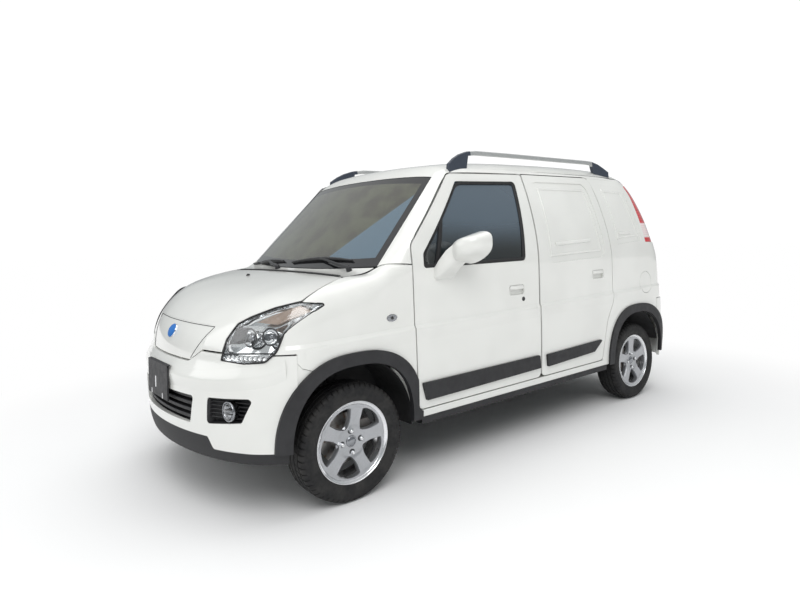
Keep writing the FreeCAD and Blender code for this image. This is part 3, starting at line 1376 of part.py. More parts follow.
def wiper(pivot, elbow, tip, blade_end):
    """Arm from its pivot over the cowl, and the blade on the glass."""
    foot_place, normal = onto_skin(point(*pivot))
    pin = Part.makeCylinder(11, 26 - SEAT_GAP, foot_place + normal * SEAT_GAP, normal)
    top = foot_place + normal * 22
    places = [top, over_skin(*elbow, 22), over_skin(*tip, 16)]
    arm = [tube_between(a, b, 5) for a, b in zip(places, places[1:])]
    knees = [Part.makeSphere(5, place) for place in places[1:]]
    start, middle, end = [over_skin(*place, 12) for place in (blade_end, tip, (
        2 * tip[0] - blade_end[0], 2 * tip[1] - blade_end[1], 2 * tip[2] - blade_end[2]))]
    blade = [tube_between(start, middle, 6), tube_between(middle, end, 6), Part.makeSphere(6, middle)]
    return pin.multiFuse(arm + knees + blade).cut(bulkhead)


part_feature("wipers", Part.Compound([
    wiper((540, 118, 1030), (440, 128, 1050), (230, 138, 1075), (500, 165, 1078)),
    wiper((-150, 72, 1024), (-250, 92, 1046), (-400, 132, 1070), (-160, 120, 1066))]))

doc.recompute()
faults = [item.Label for item in doc.Objects if "Invalid" in item.State or "Error" in item.State]
for feature in sub_parts:
    if feature.Shape.isNull() or not feature.Shape.isValid() or not feature.Shape.Solids:
        faults.append(feature.Label)
if faults:
    raise RuntimeError("failed: " + ", ".join(faults))
os.makedirs("parts", exist_ok=True)
for feature in sub_parts:
    feature.Shape.exportStep("parts/%s.step" % feature.Label)
    box_size = feature.Shape.BoundBox
    print("%-22s %2d solids %8.1f cm3  x %6.0f %6.0f  y %6.0f %6.0f  z %6.0f %6.0f" % (
        feature.Label, len(feature.Shape.Solids), feature.Shape.Volume / 1000, box_size.XMin, box_size.XMax,
        box_size.YMin, box_size.YMax, box_size.ZMin, box_size.ZMax))
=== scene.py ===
import math
import bmesh
import bpy
from mathutils import Matrix, Vector
from mathutils.bvhtree import BVHTree


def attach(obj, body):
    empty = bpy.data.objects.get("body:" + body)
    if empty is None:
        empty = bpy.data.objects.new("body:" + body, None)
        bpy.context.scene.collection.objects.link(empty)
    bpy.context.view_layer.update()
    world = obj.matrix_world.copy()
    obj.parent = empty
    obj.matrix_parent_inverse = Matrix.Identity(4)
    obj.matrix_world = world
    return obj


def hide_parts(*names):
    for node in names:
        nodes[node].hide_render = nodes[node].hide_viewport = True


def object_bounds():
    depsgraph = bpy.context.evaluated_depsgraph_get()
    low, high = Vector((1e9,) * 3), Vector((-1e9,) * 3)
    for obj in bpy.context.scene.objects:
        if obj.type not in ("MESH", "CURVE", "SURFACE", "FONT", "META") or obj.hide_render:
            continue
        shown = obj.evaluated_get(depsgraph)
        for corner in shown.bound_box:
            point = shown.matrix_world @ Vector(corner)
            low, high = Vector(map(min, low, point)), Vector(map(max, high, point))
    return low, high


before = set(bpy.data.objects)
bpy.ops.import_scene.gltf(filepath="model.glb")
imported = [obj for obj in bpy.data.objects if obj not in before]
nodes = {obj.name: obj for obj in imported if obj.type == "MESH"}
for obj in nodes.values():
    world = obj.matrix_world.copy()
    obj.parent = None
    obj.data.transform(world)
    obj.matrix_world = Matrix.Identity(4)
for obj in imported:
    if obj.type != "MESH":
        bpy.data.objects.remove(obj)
cad_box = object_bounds()
FRONT_AXLE, REAR_AXLE = -1.088, 1.247
WHEEL_CENTRE, WHEEL_ACROSS = 0.266, 0.6715
SIDES = (("left", 1), ("right", -1))


def place(x, behind, height):
    """A point from millimetres across, behind the front axle and above the ground."""
    return Vector((x / 1000.0, FRONT_AXLE + behind / 1000.0, height / 1000.0))


# Materials

class Look:
    """A material made by short calls; each hands on a node's output."""

    def __init__(self, name):
        self.material = bpy.data.materials.new(name)
        self.material.use_nodes = True
        self.tree = self.material.node_tree
        self.tree.nodes.clear()
        self.end = self.add("ShaderNodeOutputMaterial")
        self.place = self.add("ShaderNodeTexCoord").outputs["Object"]
        parts = self.add("ShaderNodeSeparateXYZ")
        self.tree.links.new(self.place, parts.inputs[0])
        self.x, self.y, self.z = parts.outputs

    def add(self, kind):
        """A new node of a kind."""
        return self.tree.nodes.new(kind)

    def feed(self, socket, value):
        """Gives a socket another node's output or a plain value."""
        if isinstance(value, bpy.types.NodeSocket):
            self.tree.links.new(value, socket)
        else:
            socket.default_value = value

    def noise(self, scale, detail=2.0, stretch=None):
        """Noise over the object, finer with a larger scale."""
        item = self.add("ShaderNodeTexNoise")
        self.feed(item.inputs["Vector"], self.stretched(stretch) if stretch else self.place)
        item.inputs["Scale"].default_value = scale
        item.inputs["Detail"].default_value = detail
        return item.outputs["Fac"]

    def cells(self, scale):
        """Distance to the nearest of scattered points."""
        item = self.add("ShaderNodeTexVoronoi")
        self.feed(item.inputs["Vector"], self.place)
        item.inputs["Scale"].default_value = scale
        return item.outputs["Distance"]

    def waves(self, scale, direction="X", distortion=0.0):
        """Stripes along a direction."""
        item = self.add("ShaderNodeTexWave")
        item.bands_direction = direction
        self.feed(item.inputs["Vector"], self.place)
        item.inputs["Scale"].default_value = scale
        item.inputs["Distortion"].default_value = distortion
        return item.outputs["Fac"]

    def stretched(self, factors):
        """The place on the object, scaled along each axis."""
        item = self.add("ShaderNodeMapping")
        self.feed(item.inputs["Vector"], self.place)
        item.inputs["Scale"].default_value = factors
        return item.outputs[0]

    def calc(self, operation, a, b=0.0):
        """Arithmetic with outputs or numbers."""
        item = self.add("ShaderNodeMath")
        item.operation = operation
        self.feed(item.inputs[0], a)
        self.feed(item.inputs[1], b)
        return item.outputs[0]

    def times(self, a, b):
        return self.calc("MULTIPLY", a, b)

    def plus(self, a, b):
        return self.calc("ADD", a, b)

    def minus(self, a, b):
        return self.calc("SUBTRACT", a, b)

    def step(self, value, start, end, low=0.0, high=1.0):
        """Smooth step from low to high while the value goes from start to end."""
        item = self.add("ShaderNodeMapRange")
        item.interpolation_type = "SMOOTHSTEP"
        for socket, number in zip(item.inputs, (value, start, end, low, high)):
            self.feed(socket, number)
        return item.outputs[0]

    def mottle(self, scale, detail=2.0, low=0.0, high=1.0):
        """Soft patches that run from low to high."""
        return self.step(self.noise(scale, detail), 0.3, 0.7, low, high)

    def tint(self, share, a, b):
        """From colour a to colour b by a share."""
        item = self.add("ShaderNodeMix")
        item.data_type = "RGBA"
        self.feed(item.inputs["Factor"], share)
        colours = [socket for socket in item.inputs if socket.type == "RGBA"]
        for socket, colour in zip(colours, (a, b)):
            self.feed(socket, colour if isinstance(colour, bpy.types.NodeSocket) else (*colour, 1))
        return [socket for socket in item.outputs if socket.type == "RGBA"][0]

    def bump(self, height, distance, strength=1.0):
        """Normal of a fine relief."""
        item = self.add("ShaderNodeBump")
        item.inputs["Distance"].default_value = distance
        item.inputs["Strength"].default_value = strength
        self.feed(item.inputs["Height"], height)
        return item.outputs[0]

    def facing(self, axis):
        """The surface normal's part along X, Y or Z."""
        geometry = self.add("ShaderNodeNewGeometry")
        parts = self.add("ShaderNodeSeparateXYZ")
        self.tree.links.new(geometry.outputs["Normal"], parts.inputs[0])
        return parts.outputs["XYZ".index(axis)]

    def finish(self, **values):
        """The finished material, with values for the shader's inputs."""
        shader = self.add("ShaderNodeBsdfPrincipled")
        for name, value in values.items():
            socket = shader.inputs[name.replace("_", " ")]
            if isinstance(value, tuple):
                value = (*value, 1)
            self.feed(socket, value)
        self.tree.links.new(shader.outputs[0], self.end.inputs[0])
        return self.material


def shaded(colour, factor):
    """A colour made darker or lighter by a factor."""
    return tuple(channel * factor for channel in colour)


PAINT = (0.80, 0.805, 0.775)
PAINT_SHADE = (0.76, 0.765, 0.735)
LINING = (0.10, 0.10, 0.105)
BLACK = (0.022, 0.022, 0.024)


def painted(name, inner=None, black=None):
    """Pearl white paint; inner(look) gives its trimmed inside, black(look) what is black: black plastic, and
    on the bumper also painted shade.
    """
    look = Look(name)
    colour = look.tint(look.step(look.noise(3.0), 0.35, 0.65), PAINT, PAINT_SHADE)
    rough = look.mottle(900.0, 1.0, 0.28, 0.36)
    coat = 1.0
    share = None
    if inner:
        share = inner(look)
        colour = look.tint(share, colour, LINING)
    if black:
        share = black(look)
        colour = look.tint(share, colour, BLACK)
    if share is not None:
        rough = look.plus(rough, look.times(share, 0.35))
        coat = look.minus(1.0, share)
    ripple = look.bump(look.noise(14.0, 1.0), 0.0004, 0.25)
    return look.finish(Base_Color=colour, Roughness=rough, Coat_Weight=coat, Coat_Roughness=0.04,
                       IOR=1.48, Normal=ripple)


def inside_of_sides(look):
    """Where the surface looks towards the middle of the van and lies well under the skin."""
    side = look.times(look.facing("X"), look.calc("SIGN", look.x))
    depth = look.step(look.calc("ABSOLUTE", look.x), 0.748, 0.742)
    return look.times(look.step(side, -0.35, -0.6), depth)


def inside_of_roof(look):
    """Where the surface looks down."""
    return look.step(look.facing("Z"), -0.3, -0.5)


def lip_and_painted_shade(look):
    """Black under-lip of the front bumper, higher in its middle; towards its ends the black strip along its
    foot is painted shade, standing for the shade under the bumper.
    """
    across = look.calc("ABSOLUTE", look.x)
    limit = look.plus(0.302, look.step(across, 0.466, 0.428, 0.0, 0.052))
    return look.step(look.minus(look.z, limit), 0.001, -0.001)


def under_cowl(look):
    """Everything of the bulkhead but the painted cowl on its top."""
    low = look.step(look.z, 1.0045, 1.0035)
    inner = look.step(look.facing("Z"), 0.35, 0.2)
    return look.calc("MAXIMUM", low, inner)


def plastic(name, colour, rough, grain=420.0, depth=0.0003, coat=0.0):
    """Moulded plastic with a pressed grain."""
    look = Look(name)
    lighter = tuple(min(1.0, channel * 1.25 + 0.004) for channel in colour)
    shade = look.tint(look.mottle(9.0, 4.0), colour, lighter)
    roughness = look.mottle(35.0, 3.0, low=rough - 0.05, high=rough + 0.05)
    return look.finish(Base_Color=shade, Roughness=roughness, Coat_Weight=coat, Coat_Roughness=0.06,
                       Normal=look.bump(look.cells(grain), depth, 0.6))


def metal(name, colour, rough, metallic=1.0, coat=0.0):
    """Plain or lacquered metal with a fine grain."""
    look = Look(name)
    streaks = look.noise(160.0, 3.0)
    shade = look.tint(look.step(streaks, 0.3, 0.7), colour, shaded(colour, 0.93))
    roughness = look.step(streaks, 0.3, 0.7, max(rough - 0.03, 0.02), rough + 0.03)
    return look.finish(Base_Color=shade, Metallic=metallic, Roughness=roughness, Coat_Weight=coat,
                       Coat_Roughness=0.05, Normal=look.bump(streaks, 0.00005, 0.1))


BORDER = (0.01, 0.01, 0.012)


def gate_glass():
    """Tinted glass of the tailgate with its printed black border."""
    look = Look("glass_gate")
    colour = (0.35, 0.42, 0.42)
    tone = look.tint(look.mottle(2.0), colour, shaded(colour, 0.93))
    share = gate_border(look)
    rough = look.plus(look.mottle(5.0, low=0.0, high=0.015), look.times(share, 0.12))
    return look.finish(Base_Color=look.tint(share, tone, BORDER), Transmission_Weight=look.minus(1.0, share),
                       Roughness=rough, IOR=1.45, Specular_IOR_Level=0.6, Coat_Weight=0.6,
                       Coat_Roughness=0.01)


def door_glass():
    """Dark blue tinted glass with a painted reflection of the sky: darker towards its foot, lighter and bluer
    towards its top.
    """
    look = Look("glass_side")
    height = look.plus(look.z, look.times(look.noise(3.0, 3.0), 0.10))
    share = look.step(height, 1.13, 1.34)
    tone = look.tint(share, (0.020, 0.028, 0.030), (0.115, 0.165, 0.215))
    return look.finish(Base_Color=tone, Transmission_Weight=look.step(share, 0.0, 1.0, 0.55, 0.40), IOR=1.5,
                       Roughness=look.mottle(5.0, low=0.0, high=0.015), Coat_Weight=1.0, Coat_Roughness=0.01)


def screen_border(look):
    """Black border of the windscreen, wider along its foot and its top."""
    across = look.calc("ABSOLUTE", look.x)
    edge = look.minus(0.6885, look.times(look.minus(look.z, 1.051), 0.169))
    side = look.step(look.minus(edge, across), 0.048, 0.044)
    bow = look.times(look.times(look.x, look.x), 0.085)
    top = look.step(look.plus(look.z, bow), 1.500, 1.504)
    rise = look.times(look.times(look.x, look.x), 0.041)
    foot = look.step(look.minus(look.z, rise), 1.078, 1.074)
    return look.calc("MAXIMUM", side, look.calc("MAXIMUM", top, foot))


def screen_glass():
    """Windscreen: painted reflection of leaves, pale green-brown, in its middle, and painted reflection of
    the sky, blue, towards its lower left corner.
    """
    look = Look("glass_screen")
    grain = look.noise(9.0, 5.0)
    painted_leaf_reflection = look.tint(look.step(grain, 0.35, 0.65), (0.125, 0.120, 0.095), (0.185, 0.195, 0.135))
    # Painted reflection of the sky towards the lower left corner
    slope = look.minus(look.x, look.times(look.minus(look.z, 1.06), 0.95))
    corner = look.step(slope, 0.235, 0.255)
    tone = look.tint(corner, painted_leaf_reflection, (0.20, 0.31, 0.40))
    border = screen_border(look)
    tone = look.tint(border, tone, BORDER)
    through = look.times(look.minus(1.0, border), 0.55)
    return look.finish(Base_Color=tone, Transmission_Weight=through,
                       Roughness=look.plus(look.times(border, 0.12), 0.01), IOR=1.45,
                       Coat_Weight=0.8, Coat_Roughness=0.01)


def gate_border(look):
    """Black border round the tailgate's glass."""
    across = look.step(look.calc("ABSOLUTE", look.x), 0.470, 0.474)
    ends = look.calc("MAXIMUM", look.step(look.z, 1.470, 1.474), look.step(look.z, 1.120, 1.116))
    return look.calc("MAXIMUM", across, ends)


def tyre_rubber():
    """Worn black rubber."""
    look = Look("tyre_rubber")
    patches = look.step(look.noise(18.0, 5.0), 0.3, 0.75)
    shade = look.tint(patches, (0.012, 0.012, 0.013), (0.03, 0.029, 0.028))
    return look.finish(Base_Color=shade, Roughness=look.mottle(60.0, 3.0, 0.62, 0.78),
                       Specular_IOR_Level=0.35, Normal=look.bump(look.noise(500.0, 2.0), 0.0003, 0.5))


def brake_iron():
    """Turned iron with fine rings round each axle."""
    look = Look("brake_iron")
    middle = look.calc("GREATER_THAN", look.y, 0.1)
    y = look.minus(look.y, look.plus(FRONT_AXLE, look.times(middle, REAR_AXLE - FRONT_AXLE)))
    z = look.minus(look.z, WHEEL_CENTRE)
    radius = look.calc("SQRT", look.plus(look.times(y, y), look.times(z, z)))
    rings = look.calc("SINE", look.times(radius, 4200.0))
    rust = look.step(look.noise(40.0, 5.0), 0.5, 0.7)
    shade = look.tint(rust, (0.34, 0.33, 0.32), (0.20, 0.13, 0.09))
    rough = look.plus(0.34, look.times(rust, 0.3))
    return look.finish(Base_Color=shade, Metallic=0.85, Roughness=rough, Normal=look.bump(rings, 0.0001, 0.3))


def tail_red():
    """Red lamp with a pale lower end and moulded ribs that show through it."""
    look = Look("tail_red")
    pale = look.times(look.step(look.z, 1.262, 1.256), look.step(look.z, 1.150, 1.156))
    shade = look.tint(look.waves(16.0, "Z"), (0.50, 0.006, 0.012), (0.72, 0.02, 0.03))
    clear = look.tint(look.waves(22.0, "Z"), (0.80, 0.62, 0.62), (0.92, 0.84, 0.84))
    ribs = look.waves(26.0, "Z")
    return look.finish(Base_Color=look.tint(pale, shade, clear),
                       Roughness=look.step(ribs, 0.2, 0.8, 0.10, 0.16), Coat_Weight=1.0,
                       Coat_Roughness=0.02, Subsurface_Weight=0.2, Normal=look.bump(ribs, 0.001, 0.25))


def rail_metal():
    """Silver rail with dark moulded ends."""
    look = Look("rail_metal")
    dark = look.calc("MAXIMUM", look.step(look.y, -0.198, -0.200), look.step(look.y, 1.006, 1.008))
    grain = look.noise(40.0, 3.0, (12, 1, 12))
    silver = look.tint(look.step(grain, 0.3, 0.7), (0.62, 0.63, 0.62), (0.50, 0.51, 0.51))
    shade = look.tint(dark, silver, (0.035, 0.045, 0.065))
    return look.finish(Base_Color=shade, Metallic=look.times(look.minus(1.0, dark), 0.75),
                       Roughness=look.step(grain, 0.2, 0.8, 0.34, 0.42),
                       Normal=look.bump(grain, 0.0001, 0.2))


def fabric(name, colour):
    """Woven cloth: crossed threads with a soft sheen."""
    look = Look(name)
    warp = look.waves(260.0, "X", 1.0)
    weft = look.waves(260.0, "Z", 1.0)
    weave = look.times(warp, weft)
    shade = look.tint(look.mottle(5.0, 4.0), colour, shaded(colour, 1.35))
    shade = look.tint(look.times(weave, 0.35), shade, shaded(colour, 0.45))
    return look.finish(Base_Color=shade, Roughness=look.step(weave, 0.0, 1.0, 0.85, 0.95), Sheen_Weight=0.35,
                       Sheen_Roughness=0.4, Normal=look.bump(weave, 0.0006, 0.7))


def leather(name, colour):
    """Grained leather of the steering wheel."""
    look = Look(name)
    shade = look.tint(look.mottle(14.0, 4.0), colour, shaded(colour, 1.4))
    grain = look.cells(330.0)
    return look.finish(Base_Color=shade, Roughness=look.step(grain, 0.1, 0.6, 0.42, 0.55),
                       Normal=look.bump(grain, 0.0005, 0.5))


def clear_lens(name, colour=(0.97, 0.98, 0.98)):
    """Thin clear plastic that hardly bends what is behind it."""
    look = Look(name)
    tone = look.tint(look.mottle(6.0), colour, shaded(colour, 0.985))
    return look.finish(Base_Color=tone, Transmission_Weight=1.0, IOR=1.12, Coat_Weight=1.0,
                       Coat_Roughness=0.01, Roughness=look.mottle(9.0, low=0.0, high=0.01))


LOOKS = {
    "body": painted("paint_body", inner=inside_of_sides),
    "roof": painted("paint_roof", inner=inside_of_roof),
    "paint": painted("paint_plain"),
    "bumper": painted("paint_bumper", black=lip_and_painted_shade),
    "screen": screen_glass(),
    "side_glass": door_glass(),
    "cowl": painted("paint_cowl", black=under_cowl),
    "gate_glass": gate_glass(),
    "black": plastic("black_plastic", (0.012, 0.012, 0.014), 0.55),
    "satin": plastic("black_satin", (0.014, 0.014, 0.016), 0.34, grain=900.0, depth=0.00005),
    "seal": plastic("black_rubber", (0.010, 0.010, 0.011), 0.62, grain=700.0),
    "chassis": plastic("chassis_black", (0.018, 0.018, 0.019), 0.6, grain=160.0, depth=0.0004),
    "dash": plastic("dash_plastic", (0.060, 0.060, 0.064), 0.6, grain=520.0, depth=0.0004),
    "silver": metal("wheel_silver", (0.43, 0.44, 0.46), 0.34, metallic=0.75, coat=0.5),
    "bright": metal("bright_lip", (0.82, 0.83, 0.85), 0.16, metallic=0.9, coat=0.4),
    "steel": metal("steel", (0.52, 0.52, 0.52), 0.32),
    "cast": metal("cast_iron", (0.20, 0.19, 0.18), 0.55, metallic=0.6),
    "chrome": metal("chrome", (0.90, 0.91, 0.92), 0.06),
    "smoke": metal("smoked_chrome", (0.30, 0.31, 0.33), 0.18),
    "iron": brake_iron(),
    "rubber": tyre_rubber(),
    "red": tail_red(),
    "rail": rail_metal(),
    "lens": clear_lens("clear_lens"),
    "amber": plastic("amber_reflector", (0.33, 0.25, 0.20), 0.25, grain=260.0, depth=0.0006, coat=0.6),
    "blue": plastic("blue_enamel", (0.008, 0.12, 0.40), 0.60, grain=60.0, depth=0.0001),
    "fabric": fabric("seat_fabric", (0.060, 0.062, 0.070)),
    "leather": leather("wheel_leather", (0.020, 0.020, 0.021)),
}

NODE_LOOKS = {
    "windscreen": "screen", "roof_panel": "roof", "bonnet": "paint", "nose_panel": "paint",
    "front_bumper": "bumper", "grille_insert": "black", "fog_lamps": "black", "rear_bumper": "paint",
    "headlamps": "lens", "tailgate": "paint", "tailgate_glass": "gate_glass", "tail_lamps": "red",
    "arch_and_sill_trims": "black", "roof_rails": "rail", "bulkhead": "cowl", "floor_pan": "chassis",
    "front_suspension": "chassis", "rear_axle": "chassis", "drive_unit": "cast", "dashboard": "dash",
    "steering_wheel": "leather", "wipers": "black"}
SIDE_LOOKS = {
    "front_door_": "body", "rear_door_": "body", "body_side_": "body", "front_wing_": "paint",
    "door_mirror_": "paint", "front_glass_": "side_glass", "front_moulding_": "black",
    "rear_moulding_": "black", "knuckle_": "cast", "brake_disc_": "iron", "brake_drum_": "iron",
    "seat_": "fabric",
    "tyre_front_": "rubber", "tyre_rear_": "rubber", "rim_front_": "silver", "rim_rear_": "silver"}
for side, sign in SIDES:
    NODE_LOOKS.update({name + side: look for name, look in SIDE_LOOKS.items()})
for name, look in NODE_LOOKS.items():
    for holder in nodes[name].material_slots:
        holder.material = LOOKS[look]


# Shapes

def circle(centre, first, second, radius, count, flat=1.0):
    """Points round a centre in the plane of two directions, squeezed by flat along the second."""
    turns = [2 * math.pi * k / count for k in range(count)]
    return [centre + (first * math.cos(t) + second * math.sin(t) * flat) * radius for t in turns]


def square_to(axis):
    """Two directions square to an axis and to each other."""
    first = axis.orthogonal().normalized()
    return first, axis.cross(first)


def fan(a, b, count):
    """This many steps from a to b, both ends with them."""
    return [a + (b - a) * k / count for k in range(count + 1)]


class Form:
    """Vertices and faces put together from rings."""

    def __init__(self):
        self.points = []
        self.faces = []

    def rings(self, rings, closed=True, caps=True, loop=False):
        """Skin through equal rings; closed joins a ring's ends, loop the last ring to the first."""
        start, count = len(self.points), len(rings[0])
        for ring in rings:
            self.points += [Vector(p) for p in ring]
        steps = count if closed else count - 1
        rows = len(rings) if loop else len(rings) - 1
        for i in range(rows):
            a, b = start + i * count, start + ((i + 1) % len(rings)) * count
            for j in range(steps):
                k = (j + 1) % count
                self.faces.append((a + j, a + k, b + k, b + j))
        if caps and closed and not loop:
            self.faces.append(tuple(range(start, start + count))[::-1])
            last = start + (len(rings) - 1) * count
            self.faces.append(tuple(range(last, last + count)))
        return self

    def lathe(self, origin, axis, profile, sides=48, caps=False):
        """Profile of (along, radius) turned about an axis."""
        axis = Vector(axis).normalized()
        first, second = square_to(axis)
        return self.rings([circle(Vector(origin) + axis * along, first, second, radius, sides)
                           for along, radius in profile], caps=caps)

    def tube(self, path, radius, sides=10, flat=1.0, up=Vector((0, 0, 1)), loop=False):
        """Tube along a path, its section squeezed by flat along up."""
        rings = []
        count = len(path)
        for i, spot in enumerate(path):
            before = path[(i - 1) % count] if loop or i else spot
            after = path[(i + 1) % count] if loop or i < count - 1 else spot
            run = (after - before).normalized()
            side = run.cross(up).normalized()
            over = side.cross(run)
            size = radius[i] if isinstance(radius, list) else radius
            rings.append(circle(spot, side, over, size, sides, flat))
        return self.rings(rings, loop=loop)

    def block(self, low, high):
        """Box between two places given in millimetres."""
        a, b = place(*low), place(*high)
        return self.rings([[Vector((x, y, z)) for x, y in ((a.x, a.y), (b.x, a.y), (b.x, b.y), (a.x, b.y))]
                           for z in (a.z, b.z)])

    def add(self, other, sign=1):
        """Takes in another form, with sign -1 as seen in a mirror."""
        start = len(self.points)
        self.points += [Vector((sign * p.x, p.y, p.z)) for p in other.points]
        self.faces += [tuple(start + i for i in face) for face in other.faces]
        return self

    def mirrored(self):
        """The form with its mirror image on the other side."""
        start = len(self.points)
        self.points += [Vector((-p.x, p.y, p.z)) for p in self.points]
        self.faces += [tuple(start + i for i in reversed(face)) for face in list(self.faces)]
        return self


def piece(name, form, look, body, slot, smooth=40, bevel=0.0):
    """Makes the form an object that rides on a body; edges sharper than smooth degrees stay sharp."""
    mesh = bpy.data.meshes.new(name)
    mesh.from_pydata([tuple(p) for p in form.points], [], form.faces)
    work = bmesh.new()
    work.from_mesh(mesh)
    bmesh.ops.remove_doubles(work, verts=work.verts, dist=1e-5)
    bmesh.ops.recalc_face_normals(work, faces=work.faces)
    work.to_mesh(mesh)
    work.free()
    item = bpy.data.objects.new(name, mesh)
    bpy.context.collection.objects.link(item)
    mesh.materials.append(LOOKS[look])
    mesh.shade_smooth()
    if smooth < 180:
        mesh.set_sharp_from_angle(angle=math.radians(smooth))
    if bevel:
        edge = item.modifiers.new("bevel", "BEVEL")
        edge.width = bevel
        edge.segments = 2
        edge.limit_method = "ANGLE"
    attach(item, body)
    return item


def rounded_loop(corners, steps=6):
    """Closed loop of points through (point, radius) corners, each corner a round of its radius."""
    loop = []
    count = len(corners)
    for i, (corner, radius) in enumerate(corners):
        before = (corners[i - 1][0] - corner)
        after = (corners[(i + 1) % count][0] - corner)
        reach = min(radius, 0.45 * before.length, 0.45 * after.length)
        a = corner + before.normalized() * reach
        b = corner + after.normalized() * reach
        for k in range(steps + 1):
            t = k / steps
            loop.append(a * (1 - t) ** 2 + corner * 2 * t * (1 - t) + b * t ** 2)
    return loop


def spread(loop, count):
    """The loop as this many points at even distances."""
    lengths = [0.0]
    for a, b in zip(loop, loop[1:] + loop[:1]):
        lengths.append(lengths[-1] + (b - a).length)
    result, k = [], 0
    for i in range(count):
        target = lengths[-1] * i / count
        while lengths[k + 1] < target:
            k += 1
        t = (target - lengths[k]) / max(lengths[k + 1] - lengths[k], 1e-9)
        result.append(loop[k].lerp(loop[(k + 1) % len(loop)], t))
    return result


surfaces = {}


def hit(node, spot, direction):
    """Where a line from the spot meets the CAD node, and the surface normal there."""
    if node not in surfaces:
        mesh = nodes[node].data
        surfaces[node] = BVHTree.FromPolygons([v.co for v in mesh.vertices],
                                              [p.vertices[:] for p in mesh.polygons])
    found, normal, _, _ = surfaces[node].ray_cast(Vector(spot), Vector(direction).normalized())
    return found, normal


# Where sight lines start, in millimetres: beside the left side, before the nose, behind, and above
BESIDE, BEFORE, AFTER, ABOVE = 1100, -900, 3400, 1400


def side_of(node, behind, height):
    """The outer skin of a left side node at a place in the side view."""
    found, normal = hit(node, place(BESIDE, behind, height), (-1, 0, 0))
    if found is None:
        found, normal = place(775, behind, height), Vector((1, 0, 0))
    return found, normal


def front_of(node, x, height):
    """The skin of a node at a place in the front view."""
    return hit(node, place(x, BEFORE, height), (0, 1, 0))


def rear_of(node, x, height):
    """The skin of a node at a place in the rear view."""
    return hit(node, place(x, AFTER, height), (0, -1, 0))


def mirrored_pieces(name, form, look, nodes_of, slot, **more):
    """The form on the left side and its mirror image on the right, each on its own body."""
    return [piece(name + "_" + side, Form().add(form, sign), look, nodes_of + side if nodes_of else "body",
                  slot, **more) for side, sign in SIDES]


# Tyres: grooved tread with slanted blocks, ribbed shoulder and smooth wall

def on_wheel(centre, outward, across, radius, turn):
    """A point of a wheel, in millimetres across and from the axle."""
    return centre + Vector((outward * across, radius * math.cos(turn), radius * math.sin(turn))) / 1000.0


TYRE_PROFILE = [
    (61.5, 172.3, 0), (63, 178, 0), (66, 184, 0), (70, 188, 0), (73.5, 196, 0), (76.5, 206, 0),
    (78.2, 217, 0), (78.4, 226, 0), (78.0, 230, 0), (78.9, 233, 0), (78.3, 237, 0), (77.4, 243, 0),
    (75.8, 248.5, 0.4), (73.8, 252, 1), (70, 257.5, 1), (64, 261.5, 1), (58, 263.2, 1), (52, 264.2, 1),
    (50.5, 264.3, 0.6), (49.5, 257.5, 0), (43.5, 257.5, 0), (42.5, 265.0, 0.3), (34, 265.6, 0.3),
    (22, 265.9, 0.3), (20.5, 265.9, 0.1), (19.5, 258, 0), (13.5, 258, 0), (12.5, 266, 0), (4, 266, 0)]
BLOCKS, GROOVE, SLANT = 56, 6.0, 0.010


def tyre_form(centre, outward):
    """Tyre turned from its profile of (across, radius, how deep a groove cuts)."""
    profile = TYRE_PROFILE + [(-a, r, b) for a, r, b in reversed(TYRE_PROFILE)]
    rings = []
    for block in range(BLOCKS):
        for share, low in ((0.0, 1), (0.13, 1), (0.17, 0), (0.50, 0), (0.96, 0)):
            ring = []
            for across, radius, cut in profile:
                turn = 2 * math.pi * (block + share + SLANT * abs(across)) / BLOCKS
                ring.append(on_wheel(centre, outward, across, radius - GROOVE * cut * low, turn))
            rings.append(ring)
    return Form().rings(rings, loop=True)


# Rims: five broad spokes with bevelled sides, barrel, lip, centre cap and four nuts

SPOKES = 5
WINDOW_IN, WINDOW_OUT = 66.0, 161.0


def window_half(radius):
    """Half angle of a window between two spokes, in radians."""
    t = (radius - WINDOW_IN) / (WINDOW_OUT - WINDOW_IN)
    if t <= 0 or t >= 1:
        return 0.0
    width = (1 - (1 - min(t / 0.45, 1.0)) ** 2) ** 0.5 * (1 - max((t - 0.86) / 0.14, 0.0) ** 2.4) ** 0.5
    spoke = 21.0 + 11.0 * t
    return max(math.pi / SPOKES - spoke / radius, 0.05) * width


def face_height(radius):
    """How far the face of the rim lies outward of the wheel's middle."""
    knots = [(0, 45), (34, 46), (60, 49), (82, 54), (120, 58.5), (150, 60.0), (163, 61.5), (170, 62)]
    for (a, b), (c, d) in zip(knots, knots[1:]):
        if radius <= c:
            t = (radius - a) / (c - a)
            return b + (d - b) * t * t * (3 - 2 * t)
    return knots[-1][1]


def rim_face(centre, outward, start_angle):
    """Hub, five spokes and outer band as one skin, ring by ring outward for each spoke."""
    form = Form()
    radii = [24, 34, 48, 58, 64, 66, 66.8, 68, 70, 73, 77, 82, 90, 100, 110, 120, 130, 138, 146, 151,
             155, 158, 160, 160.7, 161, 165, 170]
    for number in range(SPOKES):
        middle = start_angle + 2 * math.pi * number / SPOKES
        rings = []
        for radius in radii:
            window = window_half(radius)
            half = math.pi / SPOKES - window
            height = face_height(radius)
            row = []
            for share in (1.0, 0.9, 0.72, 0.4, 0.0):
                groove = 2.2 * max(0.0, 1 - (share / 0.42) ** 2) if 92 < radius < 158 else 0.0
                row.append((share * half, height - groove))
            edge = [(half, height)] * 3
            if window > 0:
                edge = [(half + 3.2 / radius, height - 5.0), (half + 4.6 / radius, height - 17.0),
                        (half + 3.0 / radius, height - 30.0)]
            right = [(a, h) for a, h in reversed(row)] + edge
            left = [(-a, h) for a, h in reversed(edge)] + [(-a, h) for a, h in row[:-1]]
            rings.append([on_wheel(centre, outward, h, radius, middle + angle) for angle, h in left + right])
        form.rings(rings, closed=False)
    return form


